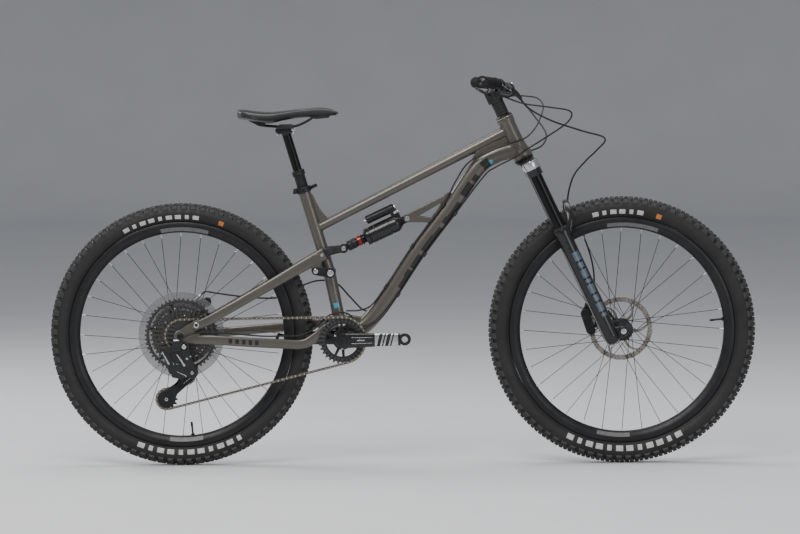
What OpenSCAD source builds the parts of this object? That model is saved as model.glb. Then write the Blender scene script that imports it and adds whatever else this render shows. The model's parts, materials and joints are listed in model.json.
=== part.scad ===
// Full-suspension mountain bike, built from separate parts.
// +X points forward, +Y to the rider's left, +Z up; the origin is on the ground below the middle.

/* [Wheels] */
// Distance between the axles
wheelbase = 1240; // [1236:1:1244]
// Outer radius of the rear tyre
rear_tyre_r = 370; // [368:1:370]
// Outer radius of the front tyre
front_tyre_r = 376; // [374:1:376]
// Section radius of the rear tyre
rear_section_r = 30; // [28:1:30]
// Section radius of the front tyre
front_section_r = 33; // [31:1:33]
// Radius of the brake rotors
rotor_r = 90; // [80:1:90]
// Spokes in each wheel
spoke_count = 32; // [28:4:32]

/* [Frame] */
// Bottom bracket ahead of the rear axle
bb_ahead = 453; // [452:1:454]
// Bottom bracket below the rear axle
bb_drop = 16; // [15:1:17]
// Angle of the steering axis from the ground
head_angle = 65; // [64.5:0.5:65.5]
// Length of the head tube
head_len = 126; // [120:1:126]
// Outer radius of the seat tube
seat_tube_r = 17.5; // [17.2:0.1:17.6]
// Wall of the frame tubes
wall = 2.2; // [2:0.1:2.6]

/* [Fork] */
// Distance between the stanchions and the middle plane
leg_y = 70; // [69:1:71]
// Radius of the stanchions
stanchion_r = 17.5; // [16:0.5:17.5]
// Outer radius of the lower legs
leg_r = 21.5; // [21:0.5:22]
// Front axle ahead of the steering axis
fork_offset = 44.5; // [43:0.5:45]

/* [Drivetrain] */
// Length of the crank arms
crank_len = 175; // [165:5:175]
// Teeth of the chainring
ring_teeth = 32; // [30:1:34]
// Plane of the chain, to the right of the middle plane
chain_y = -50; // [-50.5:0.5:-49.5]

/* [Cockpit] */
// Width of the handlebar over the grips
bar_width = 780; // [776:1:784]
// Length of the stem
stem_len = 40; // [38:1:42]

/* [Seat] */
// Angle of the seatpost from the ground
seat_angle = 73.2; // [73:0.1:73.4]
// Travel of the telescopic seatpost
post_travel = 100; // [60:5:100]

/* [Hidden] */

$fn = 64;
frame_grey = [0.22, 0.20, 0.18];
black = [0.07, 0.07, 0.08];
silver = [0.7, 0.7, 0.72];

// Axles and frame points; the offsets are forward of and above the bottom bracket.
rear_axle_x = (rear_tyre_r - wheelbase - front_tyre_r) / 2;
rear_centre = [rear_axle_x, 0, rear_tyre_r];
front_centre = [rear_axle_x + wheelbase, 0, front_tyre_r];
bb = rear_centre + [bb_ahead, 0, -bb_drop];
function at(x, z, y = 0) = bb + [x, y, z];
main_pivot = at(-2, 50);
rocker_pivot = at(-32.5, 188.4);
stay_pivot = at(-74, 193.8);
dropout_pivot = at(-407.6, 47);
shock_rear = at(4.1, 255.5);
shock_front = at(184.1, 339.4);
seat_top = at(-108.8, 426);
seat_kink_high = at(-37, 189);
seat_kink_low = at(-13, 71);
seat_dir = [-cos(seat_angle), 0, sin(seat_angle)];
steer_dir = [-cos(head_angle), 0, sin(head_angle)];
steer_out = [sin(head_angle), 0, cos(head_angle)];
axle_drop = 556.5;
head_low = front_centre - fork_offset * steer_out + axle_drop * steer_dir;
head_high = head_low + head_len * steer_dir;
function steer_pt(x, z, y = 0) = head_low + x * steer_out + z * steer_dir + [0, y, 0];

// Hubs, dropouts and pivots
ear_in = 31.3;
ear_out = 43.5;
dropout_in = 74.3;
dropout_out = 81;
rocker_in = 42.4;
rocker_out = 49;
rear_rotor_y = 58;
front_rotor_y = 43.5;

// Sprockets
pitch = 12.7;
cog_teeth = [11, 13, 15, 17, 19, 22, 25, 28, 32, 36, 42, 50];
cog_step = 3.55;
driven_cog = 5;
guide_teeth = 12;
tension_teeth = 14;
cage_pivot = at(-420, -86);
guide_centre = at(-439, -96);
tension_centre = at(-495, -163);
function pitch_r(teeth) = pitch / 2 / sin(180 / teeth);

// Handlebar and its controls, on the left side
bar_centre = steer_pt(stem_len, head_len + 65.4);
bar_end = [bar_centre.x - 80, bar_width / 2, bar_centre.z + 23];
bar_bend = [bar_centre.x - 38.5, 240, bar_centre.z + 18];
sweep_angle = atan2(bar_bend.x - bar_end.x, bar_end.y - bar_bend.y);
grip_start = bar_bend + (bar_end - bar_bend) * 0.1;
control_tilt = 37;
control_base = bar_bend + (bar_end - bar_bend) * -0.1;
bar_points = [bar_centre, bar_centre + [0, 45, 0], bar_centre + [-5, 100, 7],
    bar_centre + [-18, 165, 14], bar_bend, bar_end];

// ---- Routes of the cables, from the handlebar to the far end ----
front_hose_route = [[303, -177, 1054], [322, -168, 1040], [348, -154, 1004], [412, -134, 968],
    [500, -82, 938],
    [571, 0, 915], [548, 24, 880], [520, 40, 852], [484, 58, 805], [469, 70, 733], [490, 78, 690],
    [513, 82, 640], [530, 88, 595], [541, 95, 553], [545, 98, 505], [533, 97, 465],
    [519, 88, 440], [521, 66, 426]];
gear_route = [[272, -188, 1039], [292, -180, 1030], [340, -166, 1014], [410, -148, 1004], [468, -122, 992],
    [462, -92, 962], [401, -52, 918], [346, -40, 884], [313, -38, 862], [262, -33, 836],
    [229, -22, 810], [149, -21, 706], [62, -21, 592], [-13, -21, 479], [-61, -28, 415],
    [-100, -38, 392], [-128, -42, 400], [-148, -42, 424], [-176, -42.3, 432], [-214, -43, 420],
    [-246, -45, 388], [-290, -48, 368], [-345, -54, 367], [-400, -63, 368], [-498, -79, 378],
    [-560, -87, 380], [-600, -93, 374], [-626, -94, 358]];
dropper_route = [[272, 188, 1039], [296, 178, 1034], [328, 160, 1036],
    [362, 146, 1034], [388, 130, 1028], [402, 100, 1008],
    [394, 60, 978], [376, 6, 946], [346, -36, 918], [300, -42, 902], [248, -37, 882],
    [187, -25, 850], [149, -21, 795], [115, -21, 730], [28, -21, 616], [-47, -21, 503],
    [-86, -19, 452], [-120, -14, 436], [-160, -8, 434]];
rear_hose_route = [[303, 177, 1054], [322, 174, 1042], [352, 167, 1012], [377, 150, 980], [409, 96, 930],
    [400, 66, 898], [368, 48, 882], [320, 40, 872], [262, 31, 858], [212, 28.5, 826],
    [132, 28.5, 716], [45, 28.5, 602], [-30, 30, 490], [-72, 34, 438], [-110, 42, 432],
    [-150, 52, 470], [-188, 56, 508], [-240, 57, 516], [-300, 54, 496], [-349, 50, 470],
    [-409, 50, 468], [-470, 52, 474], [-530, 61, 482], [-560, 66, 486], [-573, 66, 476]];

// ---- Curves and swept tubes ----
function unit(v) = v / norm(v);
function curve_at(a, b, c, d, t) = 0.5 * (2 * b + (c - a) * t + (2 * a - 5 * b + 4 * c - d) * t * t
    + (3 * b - a - 3 * c + d) * t * t * t);
// A smooth curve through points p, with n steps in each span
function smooth(p, n) = [for (i = [0 : len(p) - 2]) for (k = [0 : n - 1])
    curve_at(p[max(i - 1, 0)], p[i], p[i + 1], p[min(i + 2, len(p) - 1)], k / n), p[len(p) - 1]];
function tangents(p) = [for (i = [0 : len(p) - 1]) unit(p[min(i + 1, len(p) - 1)] - p[max(i - 1, 0)])];
function across(v, t) = unit(v - t * (v * t));
// Sideways directions carried along the curve without twist
function sides(t, u0) = [for (i = 0, u = across(u0, t[0]); i < len(t);
    i = i + 1, u = i < len(t) ? across(u, t[i]) : u) u];
function ring(c, t, u, a, b, n) = [for (k = [0 : n - 1])
    c + u * a * cos(360 * k / n) + cross(t, u) * b * sin(360 * k / n)];
function band(base, rows, n, flip) = [for (i = [0 : rows - 2]) for (k = [0 : n - 1])
    let (a = base + i * n + k, b = base + i * n + (k + 1) % n)
    flip ? [a, a + n, b + n, b] : [a, b, b + n, a + n]];
function pick(v, i) = is_list(v) ? v[i] : v;

// A solid swept along p, of half-width a along u and half-height b across it
module sweep(p, a, b, u = [0, 1, 0], n = 16) {
    t = tangents(p);
    s = sides(t, u);
    rows = len(p);
    points = [for (i = [0 : rows - 1]) each ring(p[i], t[i], s[i], pick(a, i), pick(b, i), n)];
    polyhedron(points, concat(band(0, rows, n, true), [[for (k = [0 : n - 1]) k]],
        [[for (k = [0 : n - 1]) (rows - 1) * n + n - 1 - k]]), convexity = 6);
}

// The same, hollow and open at both ends
module sweep_tube(p, a, b, thick, u = [0, 1, 0], n = 24) {
    t = tangents(p);
    s = sides(t, u);
    rows = len(p);
    size = rows * n;
    outer = [for (i = [0 : rows - 1]) each ring(p[i], t[i], s[i], pick(a, i), pick(b, i), n)];
    inner = [for (i = [0 : rows - 1])
        each ring(p[i], t[i], s[i], pick(a, i) - thick, pick(b, i) - thick, n)];
    last = (rows - 1) * n;
    ends = [for (k = [0 : n - 1]) let (m = (k + 1) % n) each [
        [k, m, size + m, size + k],
        [last + m, last + k, size + last + k, size + last + m]]];
    polyhedron(concat(outer, inner),
        concat(band(0, rows, n, true), band(size, rows, n, false), ends), convexity = 8);
}

// A rod from a to b
module rod(a, b, r, r_far = -1) {
    v = b - a;
    translate(a) rotate([0, acos(v.z / norm(v)), atan2(v.y, v.x)])
        cylinder(h = norm(v), r1 = r, r2 = r_far < 0 ? r : r_far);
}
// A cylinder along Y through point c, between two values of y
module pin(c, r, y_low, y_high) translate([c.x, y_high, c.z]) rotate([90, 0, 0])
    cylinder(h = y_high - y_low, r = r);
// A flat shape drawn in X and Z, from y_low to y_high
module plate(y_low, y_high) translate([0, y_high, 0]) rotate([90, 0, 0])
    linear_extrude(y_high - y_low) children();
// A revolved shape whose axis lies along Y through c; its drawing is [radius, -y]
module turned(c) translate(c) rotate([90, 0, 0]) rotate_extrude($fn = 96) children();
module both_sides() { children(); mirror([0, 1, 0]) children(); }
module right_side() mirror([0, 1, 0]) children();
module steered() translate(head_low) rotate([0, head_angle - 90, 0]) children();
module on_bar() translate(control_base) rotate([0, control_tilt, sweep_angle]) children();

function arc(c, r, from, to, n) = [for (k = [0 : n]) let (w = from + (to - from) * k / n)
    [c.x + r * cos(w), c.z + r * sin(w)]];
// Outline of a link: two round ends joined by straight flanks
function link_outline(a, ra, b, rb) = let (d = norm(b - a), w = atan2(b.z - a.z, b.x - a.x),
    s = acos((ra - rb) / d)) concat(arc(b, rb, w - s, w + s, 16), arc(a, ra, w + s, w + 360 - s, 16));
module link(a, ra, b, rb) polygon(link_outline(a, ra, b, rb));

// ---- Wheels ----
module tyre(c, outer, section, bed) color(black) turned(c) difference() {
    translate([outer - section, 0]) circle(r = section);
    translate([outer - section, 0]) circle(r = section - 3.5);
    translate([0, -section - 5]) square([bed, 2 * section + 10]);
}
rim_inner = 287;
rim_outer = 317;
module rim(c) color(black) turned(c) difference() {
    polygon([[rim_inner, -6], [291, -11], [303, -17], [rim_outer, -17], [rim_outer, -14], [306, -14],
        [304, -10], [304, 10], [306, 14], [rim_outer, 14], [rim_outer, 17], [303, 17], [291, 11],
        [rim_inner, 6]]);
    polygon([[289, -6], [301.8, -14], [301.8, 14], [289, 6]]);
}
// Spokes that leave the flange holes almost along a tangent, half of them each way
module spokes(c, flange_r, y_left, y_right) color(black) for (i = [0 : spoke_count - 1]) {
    left = i % 2 == 0;
    lead = floor(i / 2) % 2 == 0 ? 1 : -1;
    w = 360 * i / spoke_count;
    y = left ? y_left : y_right;
    rod(c + [flange_r * cos(w + 62 * lead), y + 1.6 * lead, flange_r * sin(w + 62 * lead)],
        c + [(rim_inner + 1.5) * cos(w), left ? 2 : -2, (rim_inner + 1.5) * sin(w)], 1, $fn = 13);
}
// Six arms between a round band and the hub
module rotor(c, y) color([0.45, 0.4, 0.34]) plate(y - 0.9, y + 0.9) translate([c.x, c.z]) {
    difference() { circle(r = rotor_r); circle(r = rotor_r - 15); 
        for (k = [0 : 23]) rotate(15 * k) translate([rotor_r - 7.5, 0]) circle(r = 3); }
    difference() {
        union() {
            circle(r = 27);
            for (k = [0 : 5]) rotate(60 * k)
                polygon([[20, -5], [rotor_r - 13, 14], [rotor_r - 13, 21], [20, 5]]);
        }
        circle(r = 17);
    }
}

// ---- Sprockets and chain ----
// Flat outline of a sprocket, four points to a tooth
module sprocket_shape(teeth) let (step = 360 / teeth, r = pitch_r(teeth))
    polygon([for (k = [0 : teeth - 1]) for (q = [[-0.36, -3.6], [-0.12, 3.1], [0.12, 3.1], [0.36, -3.6]])
        (r + q[1]) * [cos((k + q[0]) * step), sin((k + q[0]) * step)]]);
module sprocket(c, teeth, y, thick) plate(y - thick / 2, y + thick / 2) translate([c.x, c.z])
    difference() { sprocket_shape(teeth); children(); }

// Tangent points of two sprockets; turn is 1 where the chain runs clockwise seen from the right
function flat(c) = [c.x, c.z];
function touch_angle(a, ra, b, rb, turn_a, turn_b) = let (d = flat(b) - flat(a))
    atan2(d.y, d.x) + turn_a * acos((ra - turn_a * turn_b * rb) / norm(d));
chain_stops = [[bb, pitch_r(ring_teeth), 1], [tension_centre, pitch_r(tension_teeth), 1],
    [guide_centre, pitch_r(guide_teeth), -1], [rear_centre, pitch_r(cog_teeth[driven_cog]), 1]];
function leave_angle(i) = let (a = chain_stops[i], b = chain_stops[(i + 1) % 4])
    touch_angle(a[0], a[1], b[0], b[1], a[2], b[2]);
function reach_angle(i) = let (a = chain_stops[(i + 3) % 4], b = chain_stops[i],
    w = touch_angle(a[0], a[1], b[0], b[1], a[2], b[2])) a[2] == b[2] ? w : w + 180;
function turned_by(i) = let (s = chain_stops[i][2], raw = s * (reach_angle(i) - leave_angle(i)))
    raw - 360 * floor(raw / 360);
function chain_line(side) = [for (i = [0 : 3]) let (s = chain_stops[i][2], n = 14)
    each arc(chain_stops[i][0], chain_stops[i][1] + side * s, reach_angle(i),
        reach_angle(i) - s * turned_by(i), n)];

// ---- Front triangle ----
module head_tube() color(frame_grey) steered() difference() {
    rotate_extrude() polygon([[18, 0], [29, 0], [29, 14], [23.5, 34], [22.5, head_len - 26],
        [24.5, head_len - 12], [24.5, head_len], [18, head_len]]);
}
module head_hole() steered() translate([0, 0, -20]) cylinder(h = head_len + 40, r = 22.4);
module top_tube() color(frame_grey) {
    rear_end = at(-78, 308);
    front_end = at(464, 583);
    difference() {
        union() {
            rod(rear_end, front_end, 13, 16);
            plate(-7, 7) polygon([flat(at(-94, 408)), flat(at(-82, 408)), flat(at(-34, 336)),
                flat(at(-60, 322))]);
        }
        rod(rear_end, front_end, 13 - wall, 16 - wall);
        head_hole();
        rod(seat_kink_high, seat_top, seat_tube_r - 0.3);
    }
}
down_path = smooth([at(476, 528), at(432, 514), at(382, 478), at(302, 364), at(215, 250),
    at(140, 137), at(76, 52), at(12, 4)], 3);
function down_width(i) = let (t = i / (len(down_path) - 1)) 23 + 7 * t * t;
// Ring that holds a cable against the tube
module cable_guide(p, d) difference() {
    rod(p - 7 * d, p + 7 * d, 4.6, $fn = 24);
    rod(p - 8 * d, p + 8 * d, 2.7, $fn = 24);
}
module down_tube() color(frame_grey) {
    difference() {
        union() {
            sweep_tube(down_path, [for (i = [0 : len(down_path) - 1]) down_width(i)],
                [for (i = [0 : len(down_path) - 1]) 24], wall);
            plate(-10, 10) polygon([flat(at(366, 503)), flat(at(380, 528)), flat(at(450, 564)),
                flat(at(472, 572)), flat(at(472, 545)), flat(at(430, 537)), flat(at(396, 518))]);
        }
        head_hole();
        pin(bb, 25.7, -40, 40);
    }
    along = unit(at(140, 137) - at(302, 364));
    for (p = [[115, -21, 730], [28, -21, 616], [-47, -21, 503], [149, -21, 706], [62, -21, 592],
        [-13, -21, 479]]) cable_guide(p, along);
}
module seat_tube() color(frame_grey) difference() {
    union() {
        rod(seat_kink_high, seat_top, seat_tube_r);
        rod(seat_kink_high, seat_kink_low, seat_tube_r);
        rod(seat_kink_low, bb, seat_tube_r);
        for (p = [seat_kink_high, seat_kink_low]) translate(p) sphere(r = seat_tube_r + 0.3);
        pin(bb, 26, -36.5, 36.5);
        pin(main_pivot, 17, -31, 31);
        pin(rocker_pivot, 12, -42, 42);
    }
    rod(seat_kink_high + 20 * seat_dir, seat_top + seat_dir, 15.85);
    rod(seat_kink_high, seat_kink_high + 21 * seat_dir, 14);
    rod(seat_kink_high, seat_kink_low, 14);
    pin(bb, 20.6, -40, 40);
    pin(main_pivot, 8, -40, 40);
    pin(rocker_pivot, 6.05, -50, 50);
}
module shock_mount() color(frame_grey) {
    upper = at(301, 403);
    lower = at(256, 334);
    difference() {
        plate(-18, 18) difference() {
            union() {
                link(shock_front, 11, upper, 8);
                link(shock_front, 11, lower, 8);
                link(upper, 8, lower, 8);
            }
            polygon([flat(at(222, 354)), flat(at(270, 382)), flat(at(252, 350))]);
        }
        pin(shock_front, 16, -12.5, 12.5);
    }
    pin(shock_front, 4, -21, 21);
}
module headset_cups() color(black) steered() difference() {
    union() {
        translate([0, 0, head_len]) cylinder(h = 8, r1 = 24.5, r2 = 19);
        translate([0, 0, -4]) cylinder(h = 4, r = 28);
        translate([0, 0, 0.1]) cylinder(h = 12, r = 17.9);
        translate([0, 0, head_len - 12]) cylinder(h = 12.1, r = 17.9);
    }
    translate([0, 0, -5]) cylinder(h = head_len + 20, r = 14.35);
}
module bb_bearings() color(black) both_sides() difference() {
    union() { pin(bb, 20.6, 26, 36.6); pin(bb, 22.5, 36.5, 43); }
    pin(bb, 12.05, 20, 50);
}
module seat_clamp() color(black) {
    low = seat_top - 13 * seat_dir;
    difference() {
        union() {
            rod(low, seat_top + 2 * seat_dir, 21);
            pin(low + 7 * seat_dir + [-24, 0, -5], 6, -13, 13);
        }
        rod(low - seat_dir, seat_top + 3 * seat_dir, seat_tube_r + 0.05);
    }
    rod(low + 7 * seat_dir + [18, 0, 6], low + 7 * seat_dir + [34, -12, 14], 4.5, $fn = 24);
}
post_collar = seat_top + 52 * seat_dir;
module seatpost_outer() color(black) difference() {
    union() {
        rod(post_collar - 175 * seat_dir, post_collar, 15.8);
        rod(post_collar - 14 * seat_dir, post_collar, 18.5);
    }
    rod(post_collar - 170 * seat_dir, post_collar + seat_dir, 13.05);
}
module hose(route, r) color(black) sweep(smooth(route, 3), r, r, [0, 0.1, 1], 8);
module rear_brake_hose() hose(rear_hose_route, 2.5);
module gear_cable() hose(gear_route, 2.2);
module dropper_cable() hose(dropper_route, 2.2);

// ---- Steering assembly ----
leg_x = 8;
module fork_upper() color(black) steered() difference() {
    union() {
        translate([0, 0, -20]) cylinder(h = head_len + 104, r = 14.3);
        for (side = [-1, 1]) translate([leg_x, side * leg_y, 0]) {
            translate([0, 0, -405]) cylinder(h = 390, r = stanchion_r);
            translate([0, 0, -58]) cylinder(h = 44, r = 22.5);
        }
        for (side = [-1, 1]) hull() {
            translate([0, 0, -20]) cylinder(h = 15.8, r = 26, $fn = 32);
            translate([leg_x, side * leg_y, -36]) cylinder(h = 24, r = 22.5, $fn = 32);
        }
    }
    translate([0, 0, -10]) cylinder(h = head_len + 100, r = 11.8);
    for (side = [-1, 1]) translate([leg_x, side * leg_y, -406])
        cylinder(h = 376, r = stanchion_r - 2.4);
}
stem_z = head_len + 65.4;
module stem() color(black) steered() {
    difference() {
        union() {
            translate([0, 0, stem_z - 20]) cylinder(h = 40, r = 18.5);
            translate([6, -15, stem_z - 14]) cube([stem_len - 16, 30, 28]);
            pin([stem_len, 0, stem_z], 21.5, -25, 25);
            translate([-24, -12, stem_z - 17]) cube([12, 24, 34]);
        }
        translate([0, 0, stem_z - 30]) cylinder(h = 60, r = 14.35);
        pin([stem_len, 0, stem_z], 15.95, -30, 30);
    }
    translate([0, 0, stem_z + 20.2]) cylinder(h = 4, r1 = 18, r2 = 14);
}
module headset_spacers() color(black) steered() for (k = [0 : 3])
    translate([0, 0, head_len + 8.1 + k * 9.3]) difference() {
        cylinder(h = 9.1, r = 18);
        translate([0, 0, -1]) cylinder(h = 12, r = 14.35);
    }
bar_half = smooth(bar_points, 4);
function flip_y(p) = [p.x, -p.y, p.z];
bar_path = concat([for (i = [len(bar_half) - 1 : -1 : 1]) flip_y(bar_half[i])], bar_half);
function bar_radius(y) = let (t = min(1, max(0, (abs(y) - 45) / 90))) 15.9 - 4.8 * t;
bar_radii = [for (p = bar_path) bar_radius(p.y)];
module handlebar() color(black) sweep_tube(bar_path, bar_radii, bar_radii, 2.4, [0, 0, 1], 20);
module grips() color(black) both_sides() difference() {
    union() {
        rod(grip_start, bar_end, 15.6);
        rod(grip_start, grip_start + 0.05 * (bar_end - bar_bend), 16.5);
        rod(bar_end - 0.05 * (bar_end - bar_bend), bar_end, 16.5);
    }
    rod(grip_start - (bar_end - bar_bend), bar_end + (bar_end - bar_bend), 11.15);
}
module bar_clamp(y, w) difference() {
    pin([0, 0, 0], 15, y - w / 2, y + w / 2);
    pin([0, 0, 0], 11.15, y - w, y + w);
}
lever_pivot = [42, 6, 0];
module brake_body() on_bar() {
    bar_clamp(0, 11);
    translate([13.5, -5.5, -6]) cube([14, 11, 12]);
    difference() {
        union() {
            rod([24, -42, 3], [28, 8, 3], 9.5);
            translate([24, -4, -9]) cube([24, 18, 18]);
        }
        translate([34, -5, -5]) cube([20, 25, 10]);
    }
    translate([lever_pivot.x, lever_pivot.y, -8]) cylinder(h = 16, r = 2.4);
}
module brake_lever() on_bar() difference() {
    translate([0, 0, -4.5]) linear_extrude(9) {
        translate([0, 0]) polygon([for (p = link_outline([42, 0, 6], 6.5, [46, 0, 40], 5)) p]);
        polygon(link_outline([46, 0, 40], 5, [40, 0, 106], 5.5));
    }
    translate([lever_pivot.x, lever_pivot.y, -6]) cylinder(h = 12, r = 2.5);
}
module brake_body_right() color(black) right_side() brake_body();
module brake_body_left() color(black) brake_body();
module brake_lever_right() color(black) right_side() brake_lever();
module brake_lever_left() color(black) brake_lever();
module shifter_body() color(black) right_side() on_bar() {
    bar_clamp(-20, 10);
    translate([-4, -25, -18]) cube([10, 10, 5]);
    translate([6, -16, -38]) cylinder(h = 21, r = 17);
    rod([6, -16, -27], [13, -34, -27], 6);
    translate([paddle_pivot.x, paddle_pivot.y, -44]) cylinder(h = 8, r = 3);
}
paddle_pivot = [4, -14];
// A flat thumb lever that turns on the pin at the paddle pivot
module thumb_lever(root_r, tip, tip_r) difference() {
    linear_extrude(4) polygon(link_outline([paddle_pivot.x, 0, paddle_pivot.y], root_r, tip, tip_r));
    translate([paddle_pivot.x, paddle_pivot.y, -1]) cylinder(h = 6, r = 3.05);
}
module shift_paddle() color(black) right_side() on_bar() translate([0, 0, -42.5])
    thumb_lever(8, [-22, 0, 16], 6.5);
module dropper_remote() color(black) on_bar() {
    bar_clamp(-20, 10);
    translate([-4, -25, -18]) cube([10, 10, 5]);
    translate([4, -18, -34]) cylinder(h = 17, r = 11);
    rod([6, -18, -27], [13, -34, -27], 5);
    translate([paddle_pivot.x, paddle_pivot.y, -40]) cylinder(h = 8, r = 3);
}
module dropper_lever() color(black) on_bar() translate([0, 0, -38.5])
    thumb_lever(7, [-24, 0, 14], 7.5);

// ---- Fork lowers ----
axle_in_fork = [fork_offset, 0, -axle_drop];
arch_half = [[54, 0, -162], [53, 34, -168], [49, 54, -186], [41, 66, -212], [20, 70, -240]];
arch_path = smooth(concat([for (i = [4 : -1 : 1]) flip_y(arch_half[i])], arch_half), 3);
module fork_lowers() color(black) steered() difference() {
    union() {
        for (side = [-1, 1]) translate([leg_x, side * leg_y, -576]) {
            cylinder(h = 352, r = leg_r);
            translate([0, 0, 340]) cylinder(h = 12, r = 23);
        }
        both_sides() plate(55.3, 78) link([leg_x, 0, -axle_drop + 6], 20, axle_in_fork, 15);
        sweep(arch_path, 9, 7, [1, 0, 0], 12);
    }
    for (side = [-1, 1]) translate([leg_x, side * leg_y, -555])
        cylinder(h = 340, r = stanchion_r + 0.1);
    pin(axle_in_fork, 7.5, -100, 100);
}
module front_axle() color(black) {
    pin(front_centre, 7.5, -84, 84);
    pin(front_centre, 10, 78.1, 86);
}
module front_caliper() color(black) difference() {
    plate(35, 58) link([517, 0, 418], 13, [532, 0, 372], 13);
    pin(front_centre, rotor_r + 2, 40.5, 46.5);
}
module front_brake_hose() hose(front_hose_route, 2.5);

// ---- Wheels as nodes ----
module front_tyre() tyre(front_centre, front_tyre_r, front_section_r, rim_outer + 0.1);
module rear_tyre() tyre(rear_centre, rear_tyre_r, rear_section_r, rim_outer + 0.1);
module front_rim() rim(front_centre);
module rear_rim() rim(rear_centre);
module front_spokes() spokes(front_centre, 26.5, 27, -28);
module rear_spokes() spokes(rear_centre, 27.5, 36, -22);
module front_rotor() rotor(front_centre, front_rotor_y);
module rear_rotor() rotor(rear_centre, rear_rotor_y);
module front_hub() color(black) turned(front_centre) polygon([[7.55, -55], [10, -55], [10, -46],
    [16.9, -46], [16.9, -42.5], [27, -42.5], [27, -39], [17, -36], [17, -30], [30, -29],
    [30, -25.5], [18, -23], [15, 0], [17, 24], [30, 26], [30, 30], [14, 33], [12, 55], [7.55, 55]]);
module rear_hub() color(black) turned(rear_centre) polygon([[6.05, -74], [10, -74], [10, -60.5],
    [16.9, -60.5], [16.9, -57], [27, -57], [27, -53], [17, -50], [17, -39], [31, -38], [31, -34],
    [18, -31], [15, 0], [18, 19], [31, 20], [31, 24], [18, 26], [17.5, 27], [17.5, 70], [10, 70],
    [10, 74], [6.05, 74]]);

// ---- Rear suspension ----
right_stay = smooth([at(-415, 6, 76.5), at(-352, 4, 76), at(-262, -3, 67), at(-175, -9, 51),
    at(-113, -11, 42.5), at(-76, 8, 39), at(-46, 32, 37.4), at(-12, 48, 37.4)], 3);
left_stay = smooth([at(-415, 12, 76.5), at(-320, 18, 73), at(-215, 27, 59), at(-130, 35, 46),
    at(-76, 42, 39), at(-14, 49, 37.4)], 3);
module stay_end(side) {
    difference() {
        plate(dropout_in, dropout_out) {
            link(rear_centre, 16, dropout_pivot, 13);
            link(rear_centre, 16, at(-405, 8), 15);
            if (side < 0) link(rear_centre, 14, at(-442, -13), 12);
            if (side > 0) link(rear_centre, 14, at(-403, 93), 11);
        }
        pin(rear_centre, 6.05, 60, 100);
    }
    pin(dropout_pivot, 5, dropout_out - 1, 91);
}
module chainstays() color(frame_grey) {
    difference() {
        union() {
            right_side() { sweep(right_stay, 5.6, 13.5); stay_end(-1); }
            sweep(left_stay, 5.6, 13);
            stay_end(1);
            both_sides() pin(main_pivot, 16, ear_in, ear_out);
            plate(-38, 38) translate(flat(at(-68, 34))) square([24, 24]);
        }
        pin(main_pivot, 8.05, -60, 60);
    }
}
module main_pivot_axle() color(silver) { pin(main_pivot, 8, -45.5, 45.5); }
module rear_axle() color(black) {
    pin(rear_centre, 6, -84, 84);
    both_sides() pin(rear_centre, 9, dropout_out + 0.2, 86);
}
module rear_caliper() color(black) difference() {
    plate(49, 74.2) link(at(-420, 92), 12, at(-386, 103), 12);
    pin(rear_centre, rotor_r + 2, 54.8, 61.2);
}
stay_beam = smooth([at(-407.6, 47, 84.9), at(-375, 59, 84.5), at(-300, 101, 75), at(-200, 157.5, 52),
    at(-157, 182, 44), at(-120, 203, 38), at(-74, 228.5, 34.5), at(-43, 246, 34)], 3);
function beam_half(i) = let (t = i / (len(stay_beam) - 1)) 11.5 + 6.5 * t;
function beam_thick(i) = min(7, 3.4 + max(0, i - 2) * 0.9);
module seatstays() color(frame_grey) both_sides() difference() {
    union() {
        sweep(stay_beam, [for (i = [0 : len(stay_beam) - 1]) beam_thick(i)],
            [for (i = [0 : len(stay_beam) - 1]) beam_half(i)]);
        pin(dropout_pivot, 13, 81.4, 88.4);
        plate(27, 42) link(stay_pivot, 11, at(-72, 226), 16);
    }
    pin(dropout_pivot, 5.05, 70, 100);
}
module shock_yoke() color(black) {
    both_sides() difference() {
        union() {
            sweep(smooth([at(-42.5, 246.3, 34), at(-30, 250, 32), at(-16, 252.5, 22), at(-4, 254, 16.4),
                at(4, 255.5, 16.2)], 2), 3.6, 10.5);
            pin(shock_rear, 11, 12.6, 19.8);
        }
    }
    plate(-25, 25) translate(flat(at(-23, 243))) square([9, 19]);
    pin(shock_rear, 4, -22, 22);
}
module rocker_link() color(black) {
    both_sides() {
        plate(rocker_in, rocker_out) link(rocker_pivot, 14, stay_pivot, 11);
        pin(stay_pivot, 7, rocker_out - 1, 52);
        pin(rocker_pivot, 9, rocker_out - 1, 51.5);
    }
    pin(rocker_pivot, 6, -rocker_out, rocker_out);
}
shock_angle = atan2(shock_front.z - shock_rear.z, shock_front.x - shock_rear.x);
shock_len = norm(shock_front - shock_rear);
module on_shock() translate(shock_rear) rotate([0, -shock_angle, 0]) children();
module shock_body() color(black) on_shock() difference() {
    union() {
        rod([68, 0, 0], [170, 0, 0], 25);
        rod([170, 0, 0], [183, 0, 0], 25, 13);
        rod([92, 0, 44], [178, 0, 44], 12);
        translate([160, -11, 8]) cube([22, 22, 34]);
        translate([175, -9, -9]) cube([18, 18, 18]);
        pin([shock_len, 0, 0], 12, -12, 12);
    }
    rod([76, 0, 0], [164, 0, 0], 21.5);
    rod([60, 0, 0], [80, 0, 0], 13.1);
    pin([shock_len, 0, 0], 4.05, -20, 20);
}
module shock_shaft() color(black) on_shock() difference() {
    union() {
        pin([0, 0, 0], 13, -12, 12);
        rod([9, 0, 0], [18, 0, 0], 9);
        rod([15, 0, 0], [106, 0, 0], 13);
        rod([96, 0, 0], [106, 0, 0], 21.3);
    }
    pin([0, 0, 0], 9, -20, 20);
}

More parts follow.
